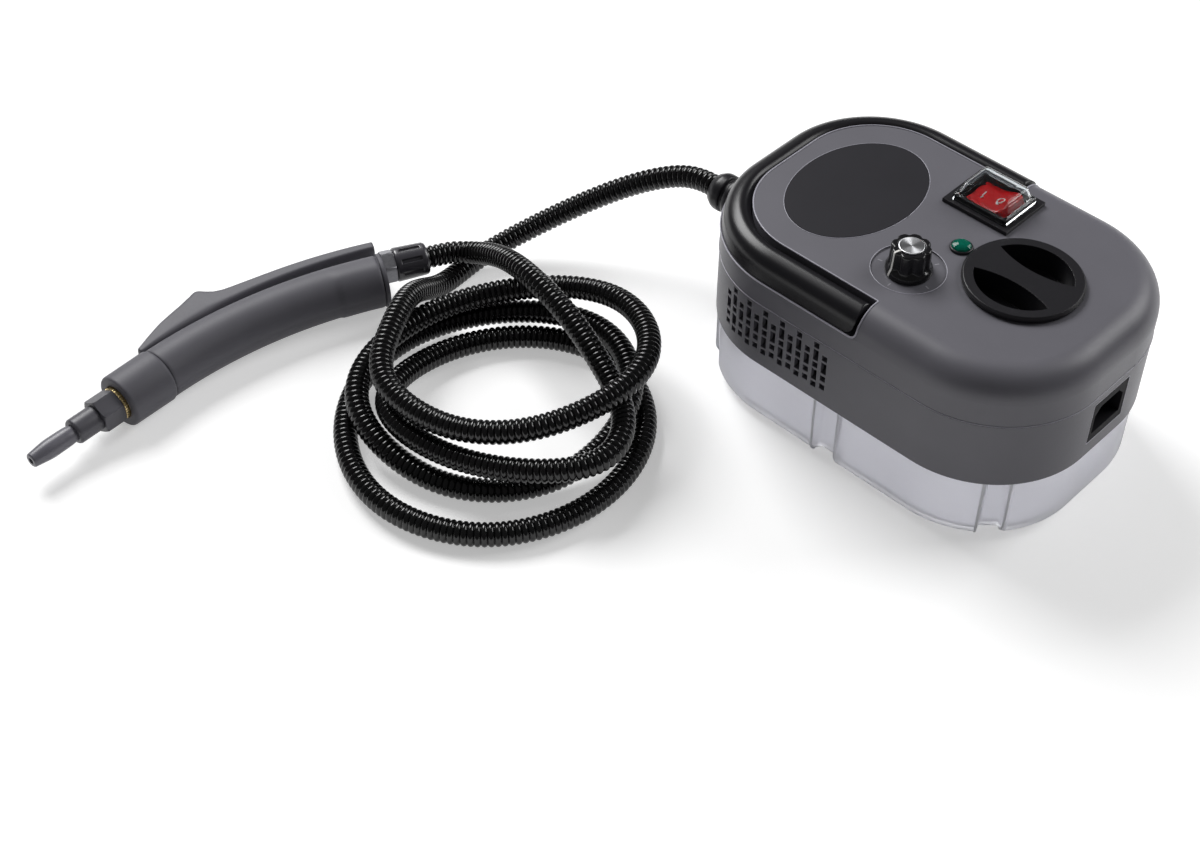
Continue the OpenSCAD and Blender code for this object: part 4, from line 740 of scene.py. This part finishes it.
class STEAM_OT_handle(bpy.types.Operator):
    """Folding carry handle round the hose end"""
    bl_idname = "steam_cleaner.handle"
    bl_label = "Carry handle"

    def execute(self, context):
        """A ridge, steep inside and sloping outside, carried along the base ring. Past the hinge its lower
        side rises as z = c - sqrt(r^2 - x^2) and its upper corner falls on an arc, which rounds the ends."""
        section = rounded([(15.6, 95.4, 0.9), (15.6, 105.6, 2.4), (11.2, 110.6, 4.6), (1.9, 106.6, 7.0),
                           (0.42, 95.4, 1.0)], 12, closed=True)
        ends = np.concatenate([HINGE_R * np.sin(np.radians(np.linspace(90, 0, 16))),
                               np.linspace(-3, CORNER_R - HALF_L, 18)])
        middles, normals = hose_end(ends)
        reach = CORNER_R - section[:, 0]
        plan = middles[:, None] + reach[None, :, None] * normals[:, None]
        z = np.broadcast_to(section[:, 1], plan.shape[:2])
        x = np.clip(middles[:, :1], 0, HINGE_R)
        low = HINGE_Z - np.sqrt(HINGE_R ** 2 - x ** 2)
        past = np.clip(x - HINGE_R + HINGE_CORNER, 0, HINGE_CORNER)
        high = TOP_Z - HINGE_CORNER + np.sqrt(HINGE_CORNER ** 2 - past ** 2)
        body = np.concatenate([plan, np.clip(z, low, high)[..., None]], -1)
        piece("handle_bail", capped(body), "handle_black", ("carry_handle",), "handle")
        return {"FINISHED"}


class STEAM_OT_gland(bpy.types.Operator):
    """Gland that holds the hose at the base unit"""
    bl_idname = "steam_cleaner.gland"
    bl_label = "Hose gland"

    def execute(self, context):
        """A lathed sleeve with a flange, a groove and a domed nut, laid along -X."""
        profile = rounded([(0, -11, 0), (9.4, -11, 0.5), (9.4, 0.02, 0.1), (14, 0.02, 0.6), (14, 3.2, 0.8),
                           (11.3, 4.2, 0.8), (11.5, 22.4, 1.0), (10.9, 24.0, 0.6), (9.2, 24.4, 0.3),
                           (9.2, 26.4, 0.3), (10.9, 26.8, 0.8), (11.0, 31.6, 1.8), (8.4, GLAND_LEN, 1.0),
                           (5.8, GLAND_LEN, 0.5), (5.8, 20, 0.4), (0, 20, 0)], 7)
        grid = lathe(profile, 72)
        grid = np.stack([-HALF_L - grid[..., 2], grid[..., 0], GLAND_Z + grid[..., 1]], -1)
        piece("gland_sleeve", grid, "trim_black", ("hose_gland",))
        return {"FINISHED"}


# Controls

class STEAM_OT_knob(bpy.types.Operator):
    """Fluted knob with its pointer, its metal disc and the dial's marks"""
    bl_idname = "steam_cleaner.knob"
    bl_label = "Knob and dial"

    def execute(self, context):
        """The grip's radius is R (1 - d |cos(n a / 2)|^5) above the skirt, which cuts n flutes; the pointer
        is a bar that runs down the grip, turned a little from the front, and the marks are short bars."""
        controls = context.scene.steam_cleaner.controls
        profile = rounded([(0, 0, 0), (12.2, 0, 0.6), (12.0, 2.2, 1.2), (10.6, 4.4, 1.6), (10.1, 15, 1.1),
                           (7.0, 15, 0.4), (6.75, 14.1, 0.2), (0, 14.1, 0)])
        grid = lathe(profile, 240)
        a = circle(240)
        cut = np.abs(np.cos(0.5 * controls.flutes * a)) ** 5
        r, h = profile.T
        rise = ease((h - SKIRT_TOP) / FLUTE_BLEND) * ease((r - FLUTE_IN_R) / FLUTE_BLEND)
        grid[..., :2] *= 1 - FLUTE_D * rise[:, None, None] * cut[None, :, None]
        place = KNOB_AT + (KNOB_Z,)
        piece("knob_grip", moved(grid, *place), "knob_black", ("control_knob",), "knob",
              sharp=50)
        disc = rounded([(0, 14.12, 0), (6.55, 14.12, 0.1), (6.55, 15.35, 0.3), (6.2, 15.55, 0.3),
                        (0, 15.3, 0)], 5)
        piece("knob_top", moved(lathe(disc, 96), *place), "spun_disc", ("knob_disc",), "knob")
        line = [(7.1, 15.06), (9.4, 15.06), (10.2, 14.5), (10.5, 9.0), (10.95, 4.3), (12.1, 2.2), (12.3, 0.6)]
        pointer = np.array([[(x, -r, h) for x in (-0.55, 0.55)] for r, h in line])
        inside = pointer * np.array([1, 0.9, 1]) - np.array([0, 0, 0.3])
        bar = np.concatenate([pointer, inside[:, ::-1]], 1)
        bar[..., 0], bar[..., 1] = turned(bar[..., 0], bar[..., 1], POINTER_TURN)
        piece("knob_pointer", capped(moved(bar, *place)), "mark_white", body="knob")
        marks = []
        for angle in np.radians(np.linspace(-150, 150, controls.ticks) - 90):
            flat = [[turned(r, w, angle) + (DIAL_Z + MARK_UP,) for w in (-MARK_HALF, MARK_HALF)]
                    for r in MARK_ENDS]
            under = moved(np.array(flat), 0, 0, -MARK_T)
            bar = np.concatenate([flat, under[:, ::-1]], 1)
            marks.append(capped(moved(bar, *KNOB_AT)))
        piece("dial_marks", marks, "mark_faint")
        return {"FINISHED"}


class STEAM_OT_lamp(bpy.types.Operator):
    """Green lamp with its dark rim"""
    bl_idname = "steam_cleaner.lamp"
    bl_label = "Lamp"

    def execute(self, context):
        """A lathed rim, and a lens cut like a jewel: a dome with as few sides as facets."""
        rim = rounded([(4.15, -12, 0), (4.85, -12, 0.1), (4.85, 0.02, 0.1), (6.1, 0.02, 0.2), (5.9, 1.1, 0.5),
                       (5.2, 1.5, 0.4), (4.3, 1.2, 0.3), (4.15, 0.6, 0)], 5)
        rim = lathe(np.concatenate([rim, rim[:1]]))
        piece("lamp_ring", moved(rim, *LAMP_AT, TOP_Z), "trim_black", ("lamp_rim",))
        dome = np.array([(0, -6), (4.1, -6), (4.1, 1.0), (5.2, 1.5), (4.7, 2.2), (3.6, 2.9), (2.0, 3.4),
                         (0, 3.5)])
        dome = moved(lathe(dome, 10), *LAMP_AT, TOP_Z)
        piece("lamp_jewel", dome, "lens_green", ("lamp_lens",), sharp=5)
        return {"FINISHED"}


class STEAM_OT_switch(bpy.types.Operator):
    """Red rocker with its marks under a clear splash cover"""
    bl_idname = "steam_cleaner.switch"
    bl_label = "Switch"

    def execute(self, context):
        """The rocker is a side view carried across, drawn in at both ends, and tilted about its pivot; the
        cover is a stack of rounded rings, outside up and inside down, over a black frame."""
        x, y = SWITCH_AT
        pivot = (x, y, TOP_Z - PIVOT_DROP)
        side = rounded([(-12.9, -4.6, 1.2), (12.9, -4.6, 1.2), (13.2, 3.0, 2.0), (10.6, 8.1, 1.1),
                        (0, 5.9, 6.0), (-10.6, 8.1, 1.1), (-13.2, 3.0, 2.0)], 7, closed=True)
        shares = {-10.3: 0.94, -10.05: 0.975, -9.6: 1.0, 9.6: 1.0, 10.05: 0.975, 10.3: 0.94}
        key = [np.c_[side[:, 0] * k, np.full(len(side), v), side[:, 1] * k] for v, k in shares.items()]
        key = capped(tilted(np.array(key), ROCKER_TILT, pivot))
        piece("rocker_key", key, "rocker_red", ("switch_rocker",), "rocker")
        ring = lathe(np.array([(1.7, 0.0), (1.7, 0.14), (2.3, 0.14), (2.3, 0.0), (1.7, 0.0)]), 40)
        bar = capped(stacked([(0.3, 2.3, 0.2, 0.0), (0.3, 2.3, 0.2, 0.14)]))
        marks = []
        for grid, at, turn in ((ring, 5.4, ROCKER_SLOPE), (bar, -5.4, -ROCKER_SLOPE)):
            on_face = tilted(grid, turn, (at, 0.0, 6.02 + abs(at) * math.tan(ROCKER_SLOPE)))
            marks.append(tilted(on_face, ROCKER_TILT, pivot))
        piece("rocker_marks", marks, "mark_white", body="rocker")
        block = stacked([(16.3, 13.3, 1.2, 0.02), (16.3, 13.3, 1.2, 2.5), (15.9, 12.9, 1.4, 2.9),
                         (14.7, 11.7, 1.6, 3.0), (14.5, 11.5, 1.6, 2.8), (14.5, 11.5, 1.6, 0.02)])
        block = moved(block, x, y, BEZEL_Z)
        piece("switch_frame", block, "trim_black", sharp=30, ring=True)
        outside = [(17.0, 14.0, 1.6, 0.02), (17.0, 14.0, 1.6, 0.5), (16.75, 13.75, 1.6, 0.7),
                   (16.6, 13.6, 1.6, 2.8), (16.1, 13.1, 1.7, 3.3), (15.2, 12.2, 2.0, 3.5),
                   (14.7, 11.6, 2.2, 4.1), (13.9, 10.5, 2.3, 8.2), (13.5, 10.1, 2.3, 9.1),
                   (12.6, 9.2, 2.0, 9.6), (0, 0, 0, 9.6)]
        inside = [(0, 0, 0, 8.8), (12.2, 8.8, 1.8, 8.8), (12.9, 9.5, 1.8, 8.3), (13.8, 10.7, 1.8, 4.2),
                  (14.3, 11.3, 1.6, 3.15), (16.4, 13.4, 1.3, 3.1), (16.45, 13.45, 1.3, 0.02)]
        cover = [moved(stacked(rings), x, y, BEZEL_Z) for rings in (outside, inside + outside[:1])]
        piece("switch_cover", cover, "cover_clear", ("switch_shield",), sharp=50)
        return {"FINISHED"}


# Gun

class STEAM_OT_gun(bpy.types.Operator):
    """Body of the gun with its front collar and rear cap"""
    bl_idname = "steam_cleaner.gun"
    bl_label = "Gun body"

    def execute(self, context):
        """A round section carried along the bend, swelling a little to the rear on its lower side, with a
        fine parting line; the collar and the rear cap are lathed."""
        r = context.scene.steam_cleaner.gun.body_r / MM
        ends = np.array([0.0, 0.08, 0.2])
        angle = np.concatenate([ends, np.linspace(0.5, BEND_A - 0.4, 70), BEND_A - ends[::-1]])
        lip = np.concatenate([[-0.7, -0.25, 0.0], np.zeros(70), [0.0, -0.2, -0.6]])
        turn = circle(96)
        below = ease((-np.cos(turn) + 0.2) / 0.6)[None, :]
        swell = SWELL * ease((angle - SWELL_A) / SWELL_BLEND)[:, None] * below
        parting = PARTING_D * np.exp(-(np.sin(turn) / PARTING_W) ** 2)[None, :]
        radius = r + lip[:, None] + swell - parting
        body = along_bend(angle[:, None], radius * np.cos(turn), radius * np.sin(turn))
        piece("gun_body", capped(gun_space(body)), "gun_charcoal",
              ("gun_upper_shell", "gun_lower_shell"))
        collar = rounded([(0, 1.2, 0), (9.6, 1.2, 0), (9.6, 0.4, 0.4), (10.4, 0, 0.3),
                          (COLLAR_R - 0.2, 0, 1.8), (COLLAR_R, 26.6, 0.5), (COLLAR_R - 0.9, 27.9, 0.3),
                          (0, 27.9, 0)])
        collar = barrel_turned(lathe(collar, 96))
        piece("gun_front_collar", collar, "gun_charcoal", ("gun_collar",))
        cap = rounded([(0, 0.02, 0), (14.0, 0.02, 0.1), (14.0, 0.5, 0.2), (COLLAR_R, 0.7, 0.2),
                       (COLLAR_R, 3.0, 0.7), (0, 3.0, 0)], 5)
        cap = behind_cap(moved(lathe(cap, 96), HOSE_RISE, -HOSE_STEP), -REAR_CAP_T)
        piece("gun_rear_plate", cap, "gun_charcoal", ("gun_rear_cap",))
        return {"FINISHED"}


class STEAM_OT_trigger(bpy.types.Operator):
    """Trigger lever with its pointed fin"""
    bl_idname = "steam_cleaner.trigger"
    bl_label = "Trigger"

    def execute(self, context):
        """At each angle of the bend the section is a squared oval from the inner side, a circle about the
        turned centre, to the outer side, which follows the fin's points and then the lever's rise."""
        gun = context.scene.steam_cleaner.gun
        rise, half = gun.lever_rise / MM, 0.5 * gun.lever_w / MM
        middle = np.array([COLLAR_LEN, -BEND_R])
        fin = np.array([(29.3, 18.4), (38.0, 22.0), (50.8, 26.4), (60.0, 28.2), (68.5, 29.6), (76.0, 31.4),
                        (79.6, 32.3), (81.2, 32.3), (82.8, 31.0), (84.6, 28.2), (87.6, 24.6), (92.0, 21.8),
                        (97.0, 20.0)])
        fin_a = np.degrees(np.arctan2(*(fin - middle).T))
        fin_h = np.hypot(*(fin - middle).T) - BEND_R
        angle = np.concatenate([[0.25, 0.3, 0.4], np.linspace(0.6, 9.0, 30), np.linspace(9.15, 14.0, 60),
                                np.linspace(14.3, 29.4, 50), [29.55, 29.65, 29.7]])
        outer = np.interp(angle, np.append(fin_a, [15.5, 17.5, 30.0]),
                          np.append(fin_h, [rise + 0.2, rise, rise]))
        for _ in range(2):
            outer[1:-1] = 0.25 * outer[:-2] + 0.5 * outer[1:-1] + 0.25 * outer[2:]
        pin = np.array(TRIGGER_PIN)
        off = pin + np.array(turned(*(middle - pin), math.radians(TRIGGER_TRAVEL))) - middle
        a = np.radians(angle)
        ahead = off[0] * np.sin(a) + off[1] * np.cos(a)
        inner = ahead + np.sqrt(TRIGGER_IN_R ** 2 - (off @ off) + ahead ** 2) - BEND_R
        inner = np.minimum(inner, outer - 2.0)
        ends = np.ones(len(angle))
        ends[[0, -1]], ends[[1, -2]] = 0.9, 0.97
        turn = circle(64)
        up, out = (np.sign(v) * np.abs(v) ** SQUARE for v in (np.cos(turn), np.sin(turn)))
        mid, reach = 0.5 * (outer + inner), 0.5 * (outer - inner) * ends
        body = along_bend(angle[:, None], mid[:, None] + reach[:, None] * up, (half * ends)[:, None] * out)
        web = rounded([(44.2, 6.0, 3.0), (52.2, 6.0, 3.0), (57.0, 19.0, 0.5), (45.0, 19.0, 0.5)], closed=True)
        web = np.array([level(web, z) for z in (-WEB_HALF, WEB_HALF)])
        both = [capped(gun_space(part)) for part in (body, web)]
        piece("trigger_lever", both, "gun_charcoal", ("gun_trigger",), "trigger",
              sharp=45)
        return {"FINISHED"}


class STEAM_OT_nozzle(bpy.types.Operator):
    """Brass outlet, hexagonal nut, adapter and nozzle at the gun's front"""
    bl_idname = "steam_cleaner.nozzle"
    bl_label = "Nozzle"

    def execute(self, context):
        """Lathed pieces on the barrel's axis, from the collar's face forwards, and a coned hexagon."""
        nut = capped(barrel_turned(hexagon(10.2, 1.0, 13.0), -15.0))
        piece("nozzle_hexagon", nut, "nozzle_charcoal", ("nozzle_nut",), sharp=25)
        ring = rounded([(0, -2.0, 0), (9.0, -2.0, 0.3), (9.4, -1.4, 0.3), (9.4, 4.9, 0.2), (0, 4.9, 0)], 5)
        teeth = lathe(ring, 4 * TEETH)
        cut = (np.arange(4 * TEETH) % 4 < 2)[None, :, None]
        teeth[..., :2] *= 1 - TOOTH_D * ease(ring[:, :1] - 8.0)[..., None] * cut
        piece("outlet_ring", barrel_turned(teeth), "brass", ("brass_outlet",))
        collar = rounded([(0, -15.2, 0), (7.2, -15.2, 0.3), (7.2, -28.9, 0.5), (6.4, -30.0, 0.5),
                          (0, -30.0, 0)], 5)
        collar = barrel_turned(lathe(collar, 72))
        piece("nozzle_collar", collar, "nozzle_charcoal", ("nozzle_adapter",))
        spout = rounded([(0, -29.6, 0), (4.7, -29.6, 0.2), (5.2, -34.0, 1.5), (5.4, -46.0, 3.0),
                         (4.0, -56.5, 0.4), (3.4, -57.0, 0.2), (1.7, -57.0, 0.2), (1.5, -52.0, 0.2),
                         (0, -52.0, 0)])
        piece("nozzle_spout", barrel_turned(lathe(spout)), "tip_grey", ("nozzle_tip",))
        return {"FINISHED"}


class STEAM_OT_fitting(bpy.types.Operator):
    """Nut and slotted ferrule that join the hose to the gun"""
    bl_idname = "steam_cleaner.fitting"
    bl_label = "Hose fitting"

    def execute(self, context):
        """A coned hexagon, and a lathed sleeve whose radius falls by d e(a) e(h) in a slot, e its edges."""
        nut = capped(behind_cap(hexagon(9.8, 0.9, HOSE_NUT_LEN), 0.02))
        piece("fitting_nut", nut, "nut_grey", ("hose_nut",), sharp=25)
        edge = rounded([(0, 0.1, 0), (9.2, 0.1, 0.4), (FERRULE_R, 1.0, 0.6), (9.3, 17.6, 0.8),
                        (8.6, FERRULE_LEN, 0.5), (0, FERRULE_LEN, 0)])
        heights = np.linspace(1.4, 16.6, 60)
        side = np.c_[np.interp(heights, [1.0, 17.6], [FERRULE_R, 9.3]), heights]
        profile = np.concatenate([edge[edge[:, 1] < 1.4], side, edge[edge[:, 1] > 16.6]])
        grid = lathe(profile, 240)
        a = circle(240)
        gap = np.abs(np.mod(a * SLOTS / (2 * np.pi) + 0.5, 1) - 0.5) * 2 * np.pi * FERRULE_R / SLOTS
        ends = ease((SLOT_REACH - np.abs(profile[:, 1:] - SLOT_MID)) / 0.6)
        slot = ease((SLOT_HALF - gap) / 0.5)[None, :] * ends
        grid[..., :2] *= 1 - SLOT_D * slot[..., None]
        ferrule = behind_cap(grid, HOSE_NUT_LEN)
        # The ferrule's lifted black is a painted sheen
        piece("fitting_ferrule", ferrule, "ferrule_painted_sheen", ("hose_ferrule",), sharp=50)
        return {"FINISHED"}


# Finishes and stage

class STEAM_OT_finishes(bpy.types.Operator):
    """Makes the finishes and gives every solid part its own"""
    bl_idname = "steam_cleaner.finishes"
    bl_label = "Finishes"

    def execute(self, context):
        made = make_finishes(context.scene.steam_cleaner)
        left = set(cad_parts)
        for name, nodes in NODE_FINISHES.items():
            for node in nodes:
                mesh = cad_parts[node].data
                mesh.materials.clear()
                mesh.materials.append(made[name])
                left.discard(node)
        if left:
            raise RuntimeError(f"no finish for {sorted(left)}")
        return {"FINISHED"}


def lamp(name, power, place, size):
    """Square soft light at a place, turned to the point that the lights face."""
    data = bpy.data.lights.new(name, "AREA")
    data.energy, data.size = power, size
    made = bpy.data.objects.new(name, data)
    bpy.context.scene.collection.objects.link(made)
    made.location = place
    away = np.array(place) - np.array(LIT_POINT)
    away = away / np.linalg.norm(away)
    made.rotation_euler = (math.acos(away[2]), 0.0, math.atan2(away[1], away[0]) + math.pi / 2)


def floor_finish(colour, lift):
    """Pale floor that keeps shadows, with light added as the camera, gloss and clear pieces see it."""
    finish, shader, place, node, wire = new_finish("floor_pale")
    link = finish.node_tree.links.new
    soft = node("ShaderNodeTexNoise", Vector=place, Scale=3.0, Detail=2.0)
    path = node("ShaderNodeLightPath").node
    seen = path.outputs["Is Camera Ray"]
    for ray in ("Is Glossy Ray", "Is Transmission Ray"):
        both = node("ShaderNodeMath", settings={"operation": "MAXIMUM"}).node
        link(seen, both.inputs[0])
        link(path.outputs[ray], both.inputs[1])
        seen = both.outputs[0]
    times = node("ShaderNodeMath", settings={"operation": "MULTIPLY"}).node
    link(seen, times.inputs[0])
    times.inputs[1].default_value = lift
    wire(shader, Roughness=0.9, Specular_IOR_Level=0.0, Base_Color=two_tone(node, soft, colour, 0.995, 1.0),
         Emission_Color=(1.0, 1.0, 1.0, 1.0), Emission_Strength=times.outputs[0])
    return finish


class STEAM_OT_stage(bpy.types.Operator):
    """Floor, lights, sky and the camera at the photograph's angle"""
    bl_idname = "steam_cleaner.stage"
    bl_label = "Stage"

    def execute(self, context):
        scene = context.scene
        stage = scene.steam_cleaner.stage
        scene.view_settings.view_transform = "Standard"
        data = bpy.data.cameras.new("camera")
        data.sensor_fit, data.sensor_width, data.lens = "HORIZONTAL", 36.0, stage.lens
        data.clip_start, data.clip_end = 0.05, 30.0
        camera = bpy.data.objects.new("camera", data)
        scene.collection.objects.link(camera)
        camera.location = stage.place
        camera.rotation_euler = (math.pi / 2 - stage.pitch, 0.0, stage.azimuth)
        scene.camera = camera
        mesh = bpy.data.meshes.new("floor")
        corners = [(x * FLOOR_HALF, y * FLOOR_HALF, 0) for x, y in ((-1, -1), (1, -1), (1, 1), (-1, 1))]
        mesh.from_pydata(corners, [], [(0, 1, 2, 3)])
        floor = bpy.data.objects.new("floor", mesh)
        scene.collection.objects.link(floor)
        mesh.materials.append(floor_finish(tuple(stage.floor), stage.lift))
        lamp("key", stage.key, KEY_AT, KEY_SIZE)
        lamp("fill", stage.fill, FILL_AT, FILL_SIZE)
        world = bpy.data.worlds.new("sky")
        scene.world = world
        world.use_nodes = True
        back = world.node_tree.nodes["Background"]
        back.inputs["Color"].default_value = (1.0, 1.0, 1.0, 1.0)
        back.inputs["Strength"].default_value = stage.sky
        return {"FINISHED"}


class STEAM_PT_sidebar(bpy.types.Panel):
    """Lists the steam cleaner's steps and settings in the sidebar"""
    bl_idname = "STEAM_PT_sidebar"
    bl_label = "Steam Cleaner"
    bl_space_type = "VIEW_3D"
    bl_region_type = "UI"
    bl_category = "Steam Cleaner"

    def draw(self, context):
        settings = context.scene.steam_cleaner
        for group in ("stage", "hose", "body", "controls", "gun"):
            box = self.layout.box()
            box.label(text=group.capitalize())
            values = getattr(settings, group)
            for name in values.__annotations__:
                box.prop(values, name)
        for step in STEPS:
            self.layout.operator("steam_cleaner." + step)


STEPS = ("stage", "finishes", "hose", "tank", "edges", "handle", "gland", "knob", "lamp", "switch", "gun",
         "trigger", "nozzle", "fitting")
CLASSES = (HoseSettings, BodySettings, ControlSettings, GunSettings, StageSettings, SteamCleanerSettings,
           STEAM_OT_stage, STEAM_OT_finishes, STEAM_OT_hose, STEAM_OT_tank, STEAM_OT_edges, STEAM_OT_handle,
           STEAM_OT_gland, STEAM_OT_knob, STEAM_OT_lamp, STEAM_OT_switch, STEAM_OT_gun, STEAM_OT_trigger,
           STEAM_OT_nozzle, STEAM_OT_fitting, STEAM_PT_sidebar)


def register():
    for cls in CLASSES:
        bpy.utils.register_class(cls)
    bpy.types.Scene.steam_cleaner = PointerProperty(type=SteamCleanerSettings)


def unregister():
    del bpy.types.Scene.steam_cleaner
    for cls in reversed(CLASSES):
        bpy.utils.unregister_class(cls)


def main():
    """Makes everything in order."""
    register()
    for step in STEPS:
        getattr(bpy.ops.steam_cleaner, step)()


if __name__ == "__main__":
    main()
